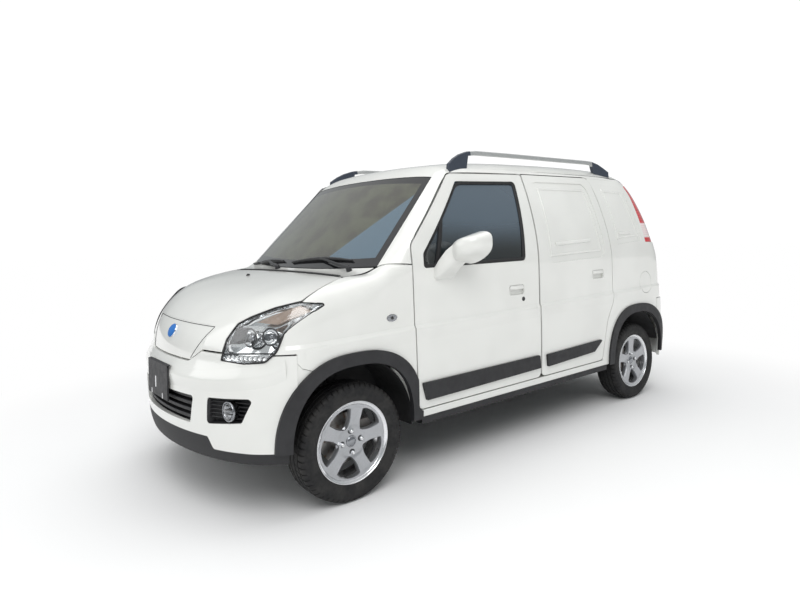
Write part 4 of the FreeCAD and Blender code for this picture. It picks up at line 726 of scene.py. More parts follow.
BARREL = [(62, 170), (64.5, 173), (66, 178.5), (68.5, 181), (70, 182), (70, 184), (65.5, 184), (63.5, 177),
          (62, 172), (58, 172), (24, 166), (-50, 170), (-61, 172), (-63.5, 177), (-65.5, 184), (-70, 184),
          (-70, 180), (-64, 174), (-58, 166), (20, 161), (46, 165), (58, 168), (62, 170)]


NUTS, NUT_CIRCLE = 4, 50


def nut_form(form, pocket_shades, centre, outward, angle):
    """One wheel nut, and a black ring round it, painted shade of the pocket that it sits in."""
    spot = on_wheel(centre, outward, 47.5, NUT_CIRCLE, angle)
    axis = Vector((outward, 0, 0))
    pocket_shades.lathe(spot, axis, [(-0.006, 0.0145), (0.0006, 0.0145), (0.0014, 0.0135), (0.0008, 0.0095)], 24)
    form.lathe(spot, axis, [(0.0, 0.0100), (0.009, 0.0100), (0.012, 0.0088)], 6, caps=True)
    form.lathe(spot, axis, [(0.011, 0.0085), (0.0145, 0.0078), (0.017, 0.0055), (0.018, 0.0001)], 24)


def wheel(corner, outward, axle, start_angle):
    """Tyre and rim of one wheel, in place of the two CAD nodes."""
    centre = Vector((WHEEL_ACROSS * outward, axle, WHEEL_CENTRE))
    body = "wheel_" + corner
    tyre = piece("tread_tyre_" + corner, tyre_form(centre, outward), "rubber", body, "tyre_rubber", smooth=28)
    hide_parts("tyre_" + corner)
    face = rim_face(centre, outward, start_angle)
    rim = piece("spoke_face_" + corner, face, "silver", body, "wheel_silver", smooth=32)
    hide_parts("rim_" + corner)
    axis = Vector((outward, 0, 0))
    barrel = Form().lathe(centre, axis, [(a / 1000.0, r / 1000.0) for a, r in BARREL], 96)
    piece("rim_barrel_" + corner, barrel, "bright", body, "wheel_silver", smooth=45)
    hub = Form().lathe(centre, axis, [(0.0183, 0.0245), (0.0183, 0.058), (0.030, 0.062), (0.030, 0.070),
                                      (0.036, 0.074), (0.044, 0.066), (0.044, 0.024), (0.0183, 0.0245)], 48)
    piece("rim_hub_" + corner, hub, "silver", body, "wheel_silver")
    cap = Form().lathe(centre, axis, [(0.040, 0.026), (0.0485, 0.026), (0.050, 0.0245), (0.0495, 0.021),
                                      (0.052, 0.018), (0.0545, 0.010), (0.055, 0.0001)], 40)
    piece("centre_cap_" + corner, cap, "smoke", body, "wheel_silver")
    nuts, pocket_shades = Form(), Form()
    for number in range(NUTS):
        nut_form(nuts, pocket_shades, centre, outward, math.radians(4 + 360 / NUTS * number))
    piece("wheel_nuts_" + corner, nuts, "chrome", body, "wheel_silver")
    piece("nut_pocket_shades_" + corner, pocket_shades, "satin", body, "wheel_silver")


for end, axle, turned in (("front_", FRONT_AXLE, 8), ("rear_", REAR_AXLE, 20)):
    for side, sign in SIDES:
        wheel(end + side, sign, axle, math.radians(turned))


# Headlamps: lens on the CAD lamp's skin, bright bowl, round units, lower strip, dark corner, reflector

LAMP_VIEW = Vector((0.72, -0.66, 0.22)).normalized()
LAMP_RIGHT = Vector((0.676, 0.737, 0.0)).normalized()
LAMP_UP = LAMP_VIEW.cross(LAMP_RIGHT).normalized()
LAMP_OUTLINE = [(761, -133, 908), (728, -242, 922), (658, -329, 901), (581, -401, 864), (535, -440, 835),
                (510, -478, 770), (494, -497, 680), (615, -443, 672), (700, -390, 684), (735, -356, 726),
                (745, -328, 800), (768, -242, 859)]


def lamp_plane(spot):
    """A place as the lamp's view shows it."""
    return spot.dot(LAMP_RIGHT), spot.dot(LAMP_UP)


def lamp_skin(u, v):
    """Point of the lamp's outer skin seen along the lamp's view."""
    start = LAMP_RIGHT * u + LAMP_UP * v + LAMP_VIEW * 2.0
    found, _ = hit("headlamps", start, -LAMP_VIEW)
    return found


outline = spread(rounded_loop([(place(*corner), 0.012) for corner in LAMP_OUTLINE]), 120)
outline = [lamp_plane(spot) for spot in outline]
heart_u = sum(u for u, _ in outline) / len(outline)
heart_v = sum(v for _, v in outline) / len(outline)


def drawn_in(u, v, share, stride):
    """The lamp's skin at a share of the way out from its middle, or further in where it has none."""
    found = lamp_skin(heart_u + (u - heart_u) * share, heart_v + (v - heart_v) * share)
    if found is None and share > 0.3:
        return drawn_in(u, v, share - stride, stride)
    return found


def lamp_ring(share, depth):
    """Ring of lamp skin points, drawn in towards the lamp's middle and sunk by a depth."""
    return [drawn_in(u, v, share, 0.01) - LAMP_VIEW * depth for u, v in outline]


LENS_RINGS = ((0.985, 0.006), (0.985, 0), (0.96, 0), (0.88, 0), (0.76, 0), (0.6, 0), (0.42, 0), (0.22, 0),
              (0.04, 0), (0.04, 0.0025), (0.42, 0.0025), (0.76, 0.0025), (0.96, 0.0025))
BOWL_RINGS = ((0.99, 0.001), (0.985, 0.010), (0.955, 0.022), (0.90, 0.034), (0.72, 0.046), (0.5, 0.054),
              (0.3, 0.058), (0.04, 0.060))
lens = Form().rings([lamp_ring(s, d) for s, d in LENS_RINGS], caps=False)
lens_piece = piece("headlamp_lenses", lens.mirrored(), "lens", "body", "lamp_lens", smooth=50)
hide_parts("headlamps")
bowl = Form().rings([lamp_ring(s, d) for s, d in BOWL_RINGS], caps=False)
piece("headlamp_bowls", bowl.mirrored(), "chrome", "body", "lamp_lens", smooth=60)
gasket = Form().tube(lamp_ring(0.992, 0.0015), 0.0042, 8, loop=True, up=LAMP_VIEW)
piece("headlamp_gaskets", gasket.mirrored(), "seal", "body", "black_plastic", smooth=180)


AHEAD = Vector((0.30, -0.95, 0.05))
CUPS = ((590, -398, 776, 0.036, 0.030, 0.0385, AHEAD),
        (672, -346, 782, 0.034, 0.028, 0.036, Vector((0.55, -0.83, 0.05))))
CUP_PROFILE = [(0.0, 0.97), (0.35, 0.86), (0.7, 0.62), (0.93, 0.3), (1.0, 0.02)]
cups, cup_rings = Form(), Form()
for x, behind, height, radius, depth, rim_radius, facing in CUPS:
    spot, axis = place(x, behind, height), facing.normalized()
    first, second = square_to(axis)
    cups.lathe(spot, axis, [(0.002, radius * 1.10), (0.006, radius * 1.08), (0.007, radius)]
               + [(-depth * down, radius * share) for down, share in CUP_PROFILE], 40)
    cup_rings.tube(circle(spot + axis * 0.006, first, second, rim_radius, 40), 0.0032, 8, loop=True, up=axis)
piece("headlamp_cups", cups.mirrored(), "chrome", "body", "lamp_lens")
piece("headlamp_cup_rings", cup_rings.mirrored(), "satin", "body", "lamp_lens", smooth=180)
bulbs = Form()
for x, behind, height, radius in ((592, -400, 776, 0.017), (674, -348, 782, 0.012), (632, -376, 770, 0.013)):
    spot = place(x, behind, height)
    bulbs.lathe(spot - AHEAD.normalized() * 0.022, AHEAD,
                [(0, radius * 0.9), (0.016, radius), (0.022, radius * 0.9), (0.027, radius * 0.55),
                 (0.029, 0.0001)], 28)
piece("headlamp_bulbs", bulbs.mirrored(), "smoke", "body", "lamp_lens")


def lamp_plate(name, corners, depth, look, thickness=0.004, steps=10):
    """Plate inside the lamp over four corners given as skin places, sunk by a depth."""
    a, b, c, d = [place(*corner) for corner in corners]
    rings = []
    for i in range(steps + 1):
        low, high = a.lerp(d, i / steps), b.lerp(c, i / steps)
        row = [drawn_in(*lamp_plane(low.lerp(high, j / steps)), 1.0, 0.02) for j in range(steps + 1)]
        rings.append([p - LAMP_VIEW * depth for p in row]
                     + [p - LAMP_VIEW * (depth + thickness) for p in row[::-1]])
    piece(name, Form().rings(rings).mirrored(), look, "body", "lamp_lens")


lamp_plate("headlamp_dark_corners",
           [(514, -470, 745), (586, -420, 778), (584, -408, 820), (530, -446, 818)], 0.012, "satin")
lamp_plate("headlamp_upper_reflectors",
           [(612, -385, 842), (700, -330, 832), (768, -214, 884), (724, -238, 906)], 0.010, "amber")
lamp_plate("headlamp_ledges",
           [(503, -489, 712), (727, -357, 722), (724, -362, 716), (503, -489, 705)], 0.008, "satin")
STRIP_CUPS = 9
STRIP_PROFILE = [(0.0, 0.003), (0.006, 0.0095), (0.010, 0.0108), (0.012, 0.0098), (0.008, 0.006),
                 (0.007, 0.0001)]
strip = Form()
for number in range(STRIP_CUPS):
    spot = place(512, -480, 694).lerp(place(700, -386, 698), (number + 0.5) / STRIP_CUPS)
    found = lamp_skin(*lamp_plane(spot)) or spot
    strip.lathe(found - LAMP_VIEW * 0.024, LAMP_VIEW, STRIP_PROFILE, 16)
piece("headlamp_strip_cups", strip.mirrored(), "chrome", "body", "lamp_lens")


# Fog lamps: black pocket with ribs, round lamp that looks ahead

FOG_OPENING = [(452, 521), (662, 530), (614, 433), (440, 413)]


fog_loop = spread(rounded_loop([(Vector((x, 0, height)), 14) for x, height in FOG_OPENING], 5), 72)
fog_heart = sum(fog_loop, Vector()) / len(fog_loop)
fog_edge = []
for spot in fog_loop:
    away = (spot - fog_heart).normalized()
    found, reach = None, 4.0
    while found is None and reach < 60:
        found, _ = front_of("front_bumper", spot.x + away.x * reach, spot.z + away.z * reach)
        reach += 3.0
    depth = (found.y - FRONT_AXLE) * 1000.0 if found is not None else -500.0
    fog_edge.append(Vector((spot.x, depth, spot.z)))
fog_middle = sum(fog_edge, Vector()) / len(fog_edge)


def fog_ring(share, depth):
    """The opening's edge on the bumper's skin, drawn in by a share and sunk by a depth in millimetres."""
    return [place(*(fog_middle.lerp(spot, share) + Vector((0, depth, 0)))) for spot in fog_edge]


POCKET_RINGS = ((1.045, 4), (1.0, 1.0), (0.985, 2.5), (0.97, 34), (0.9, 40), (0.5, 42), (0.02, 43),
                (0.02, 45), (0.95, 45), (1.03, 36))
pocket = Form().rings([fog_ring(s, d) for s, d in POCKET_RINGS], caps=False)
pocket_piece = piece("fog_pockets", pocket.mirrored(), "black", "body", "black_plastic", smooth=35)
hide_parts("fog_lamps")
RIBS, RIB_SPACING = 5, 16.56
ribs = Form()
for number in range(RIBS):
    level = fog_middle.z + RIB_SPACING * (number - 2)
    inside = sorted((spot for spot in fog_edge if abs(spot.z - level) < 7), key=lambda spot: spot.x)
    if len(inside) > 1:
        row = [inside[0].lerp(inside[-1], t) for t in fan(0.03, 0.97, 8)]
        ribs.tube([place(spot.x, spot.y + 12, level) for spot in row], 0.0052, 8, flat=0.5)
piece("fog_ribs", ribs.mirrored(), "satin", "body", "black_plastic", smooth=180)
FOG_AXIS = Vector((0.16, -0.98, 0.0)).normalized()
FOG_SPOT = place(560, -484, 475)
rims = Form().lathe(FOG_SPOT, FOG_AXIS, [(-0.030, 0.038), (0.000, 0.0435), (0.006, 0.0435), (0.009, 0.042),
                                         (0.0085, 0.038), (0.002, 0.0365)], 48)
piece("fog_rims", rims.mirrored(), "smoke", "body", "black_plastic")
dish = Form().lathe(FOG_SPOT, FOG_AXIS, [(0.004, 0.0375), (-0.004, 0.030), (-0.012, 0.018),
                                         (-0.016, 0.0001)], 48)
piece("fog_dishes", dish.mirrored(), "smoke", "body", "lamp_lens")
domes = Form().lathe(FOG_SPOT, FOG_AXIS, [(0.004, 0.0372), (0.0095, 0.0368), (0.013, 0.030), (0.015, 0.018),
                                          (0.0157, 0.0001)], 48)
piece("fog_glasses", domes.mirrored(), "lens", "body", "lamp_lens")


# Sides: black window seals, divider, handles, key locks, repeaters, mirror glass

FRONT_WINDOW = [(396, 1034, 34), (396, 1108, 60), (705, 1488, 50), (1190, 1509, 40), (1150, 1040, 26)]


def side_loop(corners, count, inset=0.0):
    """Points (behind, height) round an outline seen from the side, drawn in by an inset."""
    loop = rounded_loop([(Vector((0, behind, height)), radius) for behind, height, radius in corners])
    loop = spread(loop, count)
    middle = sum(loop, Vector()) / len(loop)
    drawn = []
    for i, spot in enumerate(loop):
        run = loop[(i + 1) % count] - loop[i - 1]
        normal = Vector((0, -run.z, run.y)).normalized()
        if normal.dot(middle - spot) < 0:
            normal = -normal
        drawn.append(spot + normal * inset)
    return [(spot.y, spot.z) for spot in drawn]


def glass_x(behind, height):
    """How far out the front door's glass lies."""
    for reach in (0, 6, 12, 20, 30, 45, 60):
        shift = (800 - behind) * reach / 400.0
        lift = (1250 - height) * reach / 400.0
        found, _ = hit("front_glass_left", place(BESIDE, behind + shift, height + lift), (-1, 0, 0))
        if found is not None:
            return found.x * 1000.0
    return 770.0


SEAL_POINTS = 140
seal_loops = [side_loop(FRONT_WINDOW, SEAL_POINTS, inset) for inset in (1.0, 7.0, 15.0, 19.0)]
seal_rings = []
for i in range(SEAL_POINTS):
    glass_here = glass_x(*seal_loops[3][i])
    ring = []
    for loop, lift in ((0, 0.6), (0, 10.5), (1, 11.3), (2, 8.0), (3, 4.0), (3, 0.6)):
        behind, height = seal_loops[loop][i]
        ring.append(place(glass_here + lift, behind, height))
    seal_rings.append(ring)
mirrored_pieces("window_seal", Form().rings(seal_rings, loop=True), "seal", "front_door_", "black_plastic",
                smooth=60)
divider_rings = []
for behind, height in zip(fan(486, 561, 8), fan(1040, 1343, 8)):
    glass_here = glass_x(behind + 30, height)
    divider_rings.append([place(glass_here + lift, behind + across, height) for across, lift in
                          ((-13, 0.8), (-11, 9.0), (-6, 10.6), (6, 10.6), (11, 9.0), (13, 0.8))])
mirrored_pieces("window_divider", Form().rings(divider_rings), "seal", "front_door_", "black_plastic")


def handle_flap(door, behind, height):
    """Flap of a door handle: a rounded plate over the upper half of its recess."""
    rings = []
    for across in (-57, -54, -48, -24, 0, 24, 48, 54, 57):
        end = max(0.0, (abs(across) - 48) / 9.0)
        found, _ = side_of(door, behind + (80 if across > 0 else -80), height)
        skin = found.x * 1000.0
        row = []
        for up, out in ((2 + 3 * end, -9), (1 + 3 * end, -1), (5 + 3 * end, 4.5 - 4 * end), (14, 6 - 4 * end),
                        (22, 5 - 4 * end), (25.5 - 2 * end, 1), (25.5 - 2 * end, -9)):
            row.append(place(skin + out, behind + across, height + up))
        rings.append(row)
    return Form().rings(rings)


for door, behind, height in (("front", 1069, 875), ("rear", 1865, 919)):
    flap = handle_flap(door + "_door_left", behind, height)
    mirrored_pieces(door + "_handle", flap, "paint", door + "_door_", "paint", smooth=35)
lock_spot, _ = side_of("front_door_left", 1123, 820)
lock = Form().lathe(lock_spot, (1, 0, 0), [(-0.001, 0.0125), (0.0015, 0.0125), (0.002, 0.0105),
                                           (0.0012, 0.009), (0.0012, 0.003), (0.0004, 0.0001)], 28)
mirrored_pieces("key_lock", lock, "satin", "front_door_", "black_plastic")


def dome(spot, normal, long_way, half_long, half_short, height):
    """Oval dome standing on a skin."""
    normal = Vector(normal).normalized()
    first = (Vector(long_way) - normal * normal.dot(Vector(long_way))).normalized()
    second = normal.cross(first)
    rings = []
    for share, lift in ((1.0, -0.001), (1.0, 0.35 * height), (0.92, 0.62 * height), (0.75, 0.84 * height),
                        (0.5, 0.95 * height), (0.2, height), (0.01, height)):
        rings.append(circle(spot + normal * lift, first, second, half_long * share, 36,
                            half_short / half_long))
    return Form().rings(rings)


repeater_spot, repeater_normal = side_of("front_wing_left", 197, 811)
for part, look, half_long, half_short, height in (("base", "smoke", 0.030, 0.0175, 0.002),
                                                  ("bulb", "seal", 0.009, 0.008, 0.0055),
                                                  ("lens", "lens", 0.0275, 0.0155, 0.009)):
    oval = dome(repeater_spot, repeater_normal, (0, 1, 0), half_long, half_short, height)
    mirrored_pieces("repeater_" + part, oval, look, "", "lamp_lens")

MIRROR_INNER, MIRROR_OUTER, MIRROR_BEHIND, MIRROR_DEPTH = 798, 1000, 655, 150
MIRROR_MIDDLE, MIRROR_RISE, MIRROR_HALF = 1133, 26, 78


def mirror_section(x, front, rear, low, high, low_front, high_front, radius):
    """Rounded section of a mirror, with its own low and high edge at the front."""
    corners = [(place(x, front, low_front), radius), (place(x, rear, low), radius * 0.3),
               (place(x, rear, high), radius * 0.3), (place(x, front, high_front), radius * 1.1)]
    return rounded_loop(corners, 9)


def mirror_shell():
    """Head of a door mirror, its foot on the door at the front corner of the window."""
    form = Form()
    rings = []
    for turn in (-86, -80, -72, -60, -45, -30, -15, 0, 15, 30, 45, 60, 72, 80, 86):
        share, full = math.sin(math.radians(turn)), math.cos(math.radians(turn)) ** 0.55
        x = MIRROR_INNER + (MIRROR_OUTER - MIRROR_INNER) * (0.5 + 0.5 * share)
        half = MIRROR_HALF * full * (1 - 0.10 * share)
        middle = MIRROR_MIDDLE + MIRROR_RISE * share
        rings.append(mirror_section(x, MIRROR_BEHIND - MIRROR_DEPTH * full, MIRROR_BEHIND, middle - half,
                                    middle + half, middle - 0.7 * half, middle + 0.5 * half, 0.042 * full))
    form.rings(rings)
    foot = []
    for x, front, rear, low, high in ((766, 458, 580, 966, 1036), (784, 459, 578, 972, 1050),
                                      (804, 464, 576, 988, 1078), (832, 486, 588, 1024, 1124),
                                      (864, 518, 610, 1062, 1160)):
        foot.append(mirror_section(x, front, rear, low, high, low, high, 0.022))
    return form.rings(foot)


def mirror_glass():
    """Mirror glass in the rear face of a mirror head."""
    rings = []
    centre = 0.5 * (MIRROR_INNER + MIRROR_OUTER)
    for share, back in ((1.0, -2.0), (1.0, 2.0), (0.97, 2.6), (0.93, 2.0), (0.90, 1.2), (0.01, 1.2)):
        ring = []
        for k in range(48):
            t = 2 * math.pi * k / 48
            across = math.copysign(abs(math.cos(t)) ** 0.6, math.cos(t))
            up = math.copysign(abs(math.sin(t)) ** 0.7, math.sin(t))
            x = centre + 82 * share * across
            lift = 2 * MIRROR_RISE * (x - centre) / (MIRROR_OUTER - MIRROR_INNER)
            ring.append(place(x, MIRROR_BEHIND + back, MIRROR_MIDDLE + lift + 50 * share * up))
        rings.append(ring)
    return rings


shells = mirrored_pieces("mirror_shell", mirror_shell(), "paint", "front_door_", "paint", smooth=45)
for (side, sign), shell in zip(SIDES, shells):
    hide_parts("door_mirror_" + side)
mirror_rings = mirror_glass()
mirrored_pieces("mirror_frame", Form().rings(mirror_rings[:5], caps=False), "satin", "front_door_",
                "black_plastic")
mirrored_pieces("mirror_glass", Form().rings(mirror_rings[4:]), "chrome", "front_door_", "glass_clear")


# Pressed lines of the sides: the crease along the doors, the raised beads of the blanked windows

def crease(name, node, spots, body_prefix):
    """Ledge along a side: its top stands out of the skin, its foot runs into it."""
    rings = []
    last = len(spots) - 1
    for i, (behind, height) in enumerate(spots):
        share = 0.25 if i in (0, last) else 1.0
        ring = []
        for up, out in ((7, -0.5), (3, 1.2 * share), (-2, 3.6 * share), (-9, 4.4 * share), (-30, 2.8 * share),
                        (-70, -0.6)):
            found, _ = side_of(node, behind, height + up)
            ring.append(found + Vector((out / 1000.0, 0, 0)))
        rings.append(ring)
    return mirrored_pieces(name, Form().rings(rings, closed=False), "paint", body_prefix, "paint", smooth=60)


def along_line(points, count):
    """Stations on a broken line through pairs of numbers, equally many on each stretch."""
    result = []
    for k in range(count + 1):
        t = k / count * (len(points) - 1)
        i = min(int(t), len(points) - 2)
        a, b = points[i], points[i + 1]
        result.append((a[0] + (b[0] - a[0]) * (t - i), a[1] + (b[1] - a[1]) * (t - i)))
    return result


for name, node, points, count, bodies in (
        ("wing_crease", "front_wing_left", [(-250, 716), (-87, 731), (123, 738), (322, 742)], 18, ""),
        ("front_crease", "front_door_left", [(368, 744), (820, 757), (1272, 764)], 24, "front_door_"),
        ("rear_crease", "rear_door_left", [(1304, 765), (1700, 772), (2010, 778)], 20, "rear_door_"),
        ("quarter_crease", "body_side_left", [(2062, 779), (2250, 782), (2400, 784)], 10, "")):
    crease(name, node, along_line(points, count), bodies)


def bead(name, node, spots, body_prefix, radius=0.0075, loop=False):
    """Half round bead along places of a side."""
    path = [side_of(node, behind, height)[0] for behind, height in spots]
    form = Form().tube(path, radius, 10, flat=0.75, up=Vector((1, 0, 0)), loop=loop)
    return mirrored_pieces(name, form, "paint", body_prefix, "paint", smooth=60)


REAR_PANEL = [(1346, 1012, 50), (1346, 1515, 40), (1895, 1525, 60), (1965, 1034, 60)]
QUARTER_PANEL = [(2092, 1109, 30), (2042, 1527, 30), (2341, 1521, 40), (2436, 1133, 30)]
bead("rear_panel_bead", "rear_door_left", side_loop(REAR_PANEL, 120, 46), "rear_door_", loop=True)
bead("rear_panel_ledge", "rear_door_left", along_line([(1440, 1128), (1800, 1146)], 16), "rear_door_", 0.012)
bead("quarter_panel_bead", "body_side_left", side_loop(QUARTER_PANEL, 90, 44), "", loop=True)
bead("quarter_panel_ledge", "body_side_left", along_line([(2150, 1186), (2300, 1190)], 10), "", 0.010)


# Rear corner of the front bumper, from its end to the arch, under the seam of the wing

CORNER_SEAM = [(-289, 689), (-283, 672), (-264, 648), (-216, 630), (-160, 627)]


def seam_height(behind):
    """Height of the seam between the bumper and the wing."""
    for (a, low), (b, high) in zip(CORNER_SEAM, CORNER_SEAM[1:]):
        if behind <= b:
            return low + (high - low) * (behind - a) / (b - a)
    return CORNER_SEAM[-1][1]


BUMPER_END, CORNER_END, TRIM_RADIUS, SHEET = -296, -160, 378, 3
wing_end, _ = side_of("front_wing_left", CORNER_END, 648)
corner_rows = []
for behind in fan(-289, -163, 14):
    low = WHEEL_CENTRE * 1000 + (TRIM_RADIUS ** 2 - behind ** 2) ** 0.5
    t = (behind - BUMPER_END) / (CORNER_END - BUMPER_END)
    outer, inner = [], []
    for height in fan(low, seam_height(behind), 8):
        found, _ = hit("front_bumper", place(BESIDE, BUMPER_END, height), (-1, 0, 0))
        start = found.x if found is not None else 0.779
        before, _ = hit("front_bumper", place(BESIDE, BUMPER_END - 24, height), (-1, 0, 0))
        widens = before is not None and start > before.x
        x = 1000 * (start + (wing_end.x - start) * (t * (2 - t) if widens else t))
        outer.append(place(x, behind, height))
        inner.append(place(x - SHEET, behind, height))
    corner_rows.append(outer + inner[::-1])
mirrored_pieces("bumper_corner", Form().rings(corner_rows), "bumper", "", "paint", smooth=40)


# Shoulder of the front bumper, which runs on into the crease of the wing

LEDGE_HEART = (300, -300)
LEDGE_TURNS = [(0, 606), (30, 611), (45, 617), (60, 627), (75, 641), (82, 655), (86, 669), (90, 684)]
LEDGE_PROFILE = [(34, -0.8), (20, 1.2), (4, 4.2), (-8, 7.0), (-15, 8.0), (-24, 7.4), (-46, 3.6), (-68, -0.8)]
LEDGE_REACH, LEDGE_LONGEST = 0.9, 0.66
ledge_stations = [(x, 0.0, 612 - 6 * x / LEDGE_HEART[0]) for x in range(0, LEDGE_HEART[0], 20)]
ledge_stations += [(LEDGE_HEART[0], math.radians(turn), level)
                   for turn, level in along_line(LEDGE_TURNS, 5 * (len(LEDGE_TURNS) - 1))]
ledge_rows = []
for x, turn, level in ledge_stations:
    outward = Vector((math.sin(turn), -math.cos(turn), 0))
    row = []
    for up, out in LEDGE_PROFILE:
        start = place(x, LEDGE_HEART[1], level + up) + outward * LEDGE_REACH
        found, _ = hit("front_bumper", start, -outward)
        if found is not None and (found - start).length < LEDGE_LONGEST:
            row.append(found + outward * (out / 1000.0))
        elif row and up < -40:
            row.append(row[-1] + Vector((0, 0, -0.022)) - outward * 0.005)
    if len(row) == len(LEDGE_PROFILE):
        ledge_rows.append(row)
mirrored_pieces("bumper_ledge", Form().rings(ledge_rows, closed=False), "bumper", "", "paint", smooth=60)


# Front: badge disc, washer jet, cowl seal, wipers, plate holder

badge_spot, badge_normal = front_of("nose_panel", 0, 763)
badge = Form().lathe(badge_spot, badge_normal, [(-0.003, 0.034), (0.002, 0.034), (0.0035, 0.0330),
                                                (0.003, 0.0315)], 48)
piece("badge_rim", badge, "chrome", "bonnet", "paint")
badge_face = Form().lathe(badge_spot, badge_normal, [(0.000, 0.0335), (0.006, 0.0328), (0.011, 0.029),
                                                     (0.015, 0.021), (0.0172, 0.011), (0.0178, 0.0001)], 48)
piece("badge_disc", badge_face, "blue", "bonnet", "paint")
panel_line = []
for x, height in along_line([(-262, 664), (-379, 810), (379, 810), (262, 664)], 72)[:-1]:
    places = [front_of(node, x, height)[0] for node in ("nose_panel", "bonnet")]
    places = [found for found in places if found is not None]
    if places:
        panel_line.append(min(places, key=lambda found: found.y))
piece("nose_panel_line", Form().tube(panel_line, 0.0017, 6, up=Vector((0, 1, 0))), "seal", "bonnet",
      "black_plastic", smooth=180)
washer_spot, washer_normal = hit("bonnet", place(-167, -93, 1300), (0, 0, -1))
washer = Form().lathe(washer_spot, washer_normal, [(-0.001, 0.011), (0.003, 0.0105), (0.008, 0.007),
                                                   (0.010, 0.003), (0.0102, 0.0001)], 24)
piece("washer_jet", washer, "black", "bonnet", "black_plastic")


def down_on(names, x, behind):
    """The highest of these nodes under a place in the plan."""
    best, normal = None, Vector((0, 0, 1))
    for name in names:
        found, facing = hit(name, place(x, behind, ABOVE), (0, 0, -1))
        if found is not None and (best is None or found.z > best.z):
            best, normal = found, facing
    return best, normal


cowl_rings = [[down_on(("bulkhead", "bonnet"), x, behind)[0] + Vector((0, 0, lift)) for behind, lift in
               ((30, 0.0), (30, 0.0022), (34, 0.0032), (42, 0.0030), (43, 0.0))] for x in fan(-585, 585, 24)]
piece("cowl_seal", Form().rings(cowl_rings), "seal", "body", "black_plastic", smooth=60)


def wiper_form(pivot, elbow, tip, blade_end):
    """Wiper: domed pivot, sprung arm, frame and the rubber on the glass."""
    around = ("windscreen", "bulkhead", "body_side_left", "body_side_right")
    foot, foot_normal = down_on(around, pivot[0], pivot[1])
    form = Form().lathe(foot, foot_normal, [(0, 0.015), (0.010, 0.014), (0.018, 0.013), (0.024, 0.009),
                                            (0.026, 0.0001)], 24)
    elbow_spot, elbow_normal = down_on(around, elbow[0], elbow[1])
    tip_spot, tip_normal = down_on(around, tip[0], tip[1])
    path = [foot + foot_normal * 0.020, elbow_spot + elbow_normal * 0.024,
            elbow_spot.lerp(tip_spot, 0.5) + elbow_normal * 0.026, tip_spot + tip_normal * 0.017]
    form.tube(path, [0.011, 0.0095, 0.006, 0.005], 10, flat=0.6, up=elbow_normal)
    blade, rubber, radii = [], [], []
    for t in fan(0.0, 1.0, 16):
        x = blade_end[0] + 2 * (tip[0] - blade_end[0]) * t
        behind = blade_end[1] + 2 * (tip[1] - blade_end[1]) * t
        found, normal = down_on(around, x, behind)
        crown = 0.004 * math.sin(math.pi * t)
        blade.append(found + normal * (0.010 + crown))
        rubber.append(found + normal * 0.004)
        radii.append(0.003 + 0.005 * math.sin(math.pi * min(max(t, 0.06), 0.94)))
    form.tube(blade, radii, 10, flat=0.8, up=tip_normal)
    form.tube(rubber, 0.0032, 8, flat=1.5, up=tip_normal)
    return form


WIPERS = (((540, 118), (440, 128), (230, 138), (500, 165)),
          ((-150, 72), (-250, 92), (-400, 132), (-160, 120)))
wipers = wiper_form(*WIPERS[0]).add(wiper_form(*WIPERS[1]))
wiper_piece = piece("wiper_arms", wipers, "satin", "body", "black_plastic")
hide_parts("wipers")

plate_front = cad_box[0][1] * 1000.0 - FRONT_AXLE * 1000.0
FLANGE = ((7, 614), (1, 616), (-0.5, 621), (-0.5, 625), (4, 626.5), (16, 627.5), (16, 623), (7, 621))
flange = Form().rings([[place(x, plate_front + back, height) for back, height in FLANGE]
                       for x in (-147, -140, -70, 0, 70, 140, 147)])
piece("plate_flange", flange, "black", "body", "black_plastic", bevel=0.001)
# Bright metal blocks in the plate holder's slots: painted highlights, standing for light reflected in them
slot_glints = Form()
for x, height, half_wide, half_high in ((-28, 528, 7, 26), (72, 476, 5, 12), (-92, 476, 5, 12)):
    slot_glints.block((x - half_wide, plate_front - 0.5, height - half_high),
                (x + half_wide, plate_front + 0.6, height + half_high))
piece("plate_slot_glints", slot_glints, "bright", "body", "black_plastic")


# Rear: tailgate handle with two plate lamps, reflectors in the bumper

grip = []
for x in fan(-230, 230, 12):
    end = max(0.0, (abs(x) - 200) / 30.0)
    row = []
    for up, out in ((-14 + 5 * end, -0.001), (-16 + 6 * end, 0.012 - 0.006 * end), (-6, 0.020 - 0.012 * end),
                    (8, 0.018 - 0.011 * end), (15 - 5 * end, 0.008 - 0.004 * end), (15 - 5 * end, -0.001)):
        found, _ = rear_of("tailgate", x, 990 + up)
        row.append(found + Vector((0, out, 0)))
    grip.append(row)
piece("tailgate_grip", Form().rings(grip), "paint", "tailgate", "paint", smooth=35)
lamps = Form()
for x in (-80, 80):
    found, _ = rear_of("tailgate", x, 976)
    spot = found + Vector((0, 0.008, -0.003))
    corners = ((-0.018, -0.006), (0.018, -0.006), (0.018, 0.006), (-0.018, 0.006))
    lamps.rings([[spot + Vector((across, back, drop)) for across, back in corners] for drop in (0.0, -0.006)])
piece("plate_lamps", lamps, "lens", "tailgate", "lamp_lens", bevel=0.001)
reflectors = Form()
for x in (-590, 590):
    found, normal = rear_of("rear_bumper", x, 430)
    reflectors.add(dome(found, normal, (1, 0, 0), 0.050, 0.016, 0.006))
piece("bumper_reflectors", reflectors, "red", "body", "red_lens")


# Cabin: steering wheel, seats, instruments and vents

WHEEL_HUB = place(350, 600, 955.6)
COLUMN_AXIS = Vector((0, math.cos(math.radians(25)), math.sin(math.radians(25))))
WHEEL_RIGHT = Vector((1, 0, 0))
WHEEL_UP = COLUMN_AXIS.cross(WHEEL_RIGHT)


def wheel_place(across, up, out):
    """A place of the steering wheel, across and up in its plane and out towards the driver."""
    return WHEEL_HUB + WHEEL_RIGHT * across + WHEEL_UP * up + COLUMN_AXIS * out


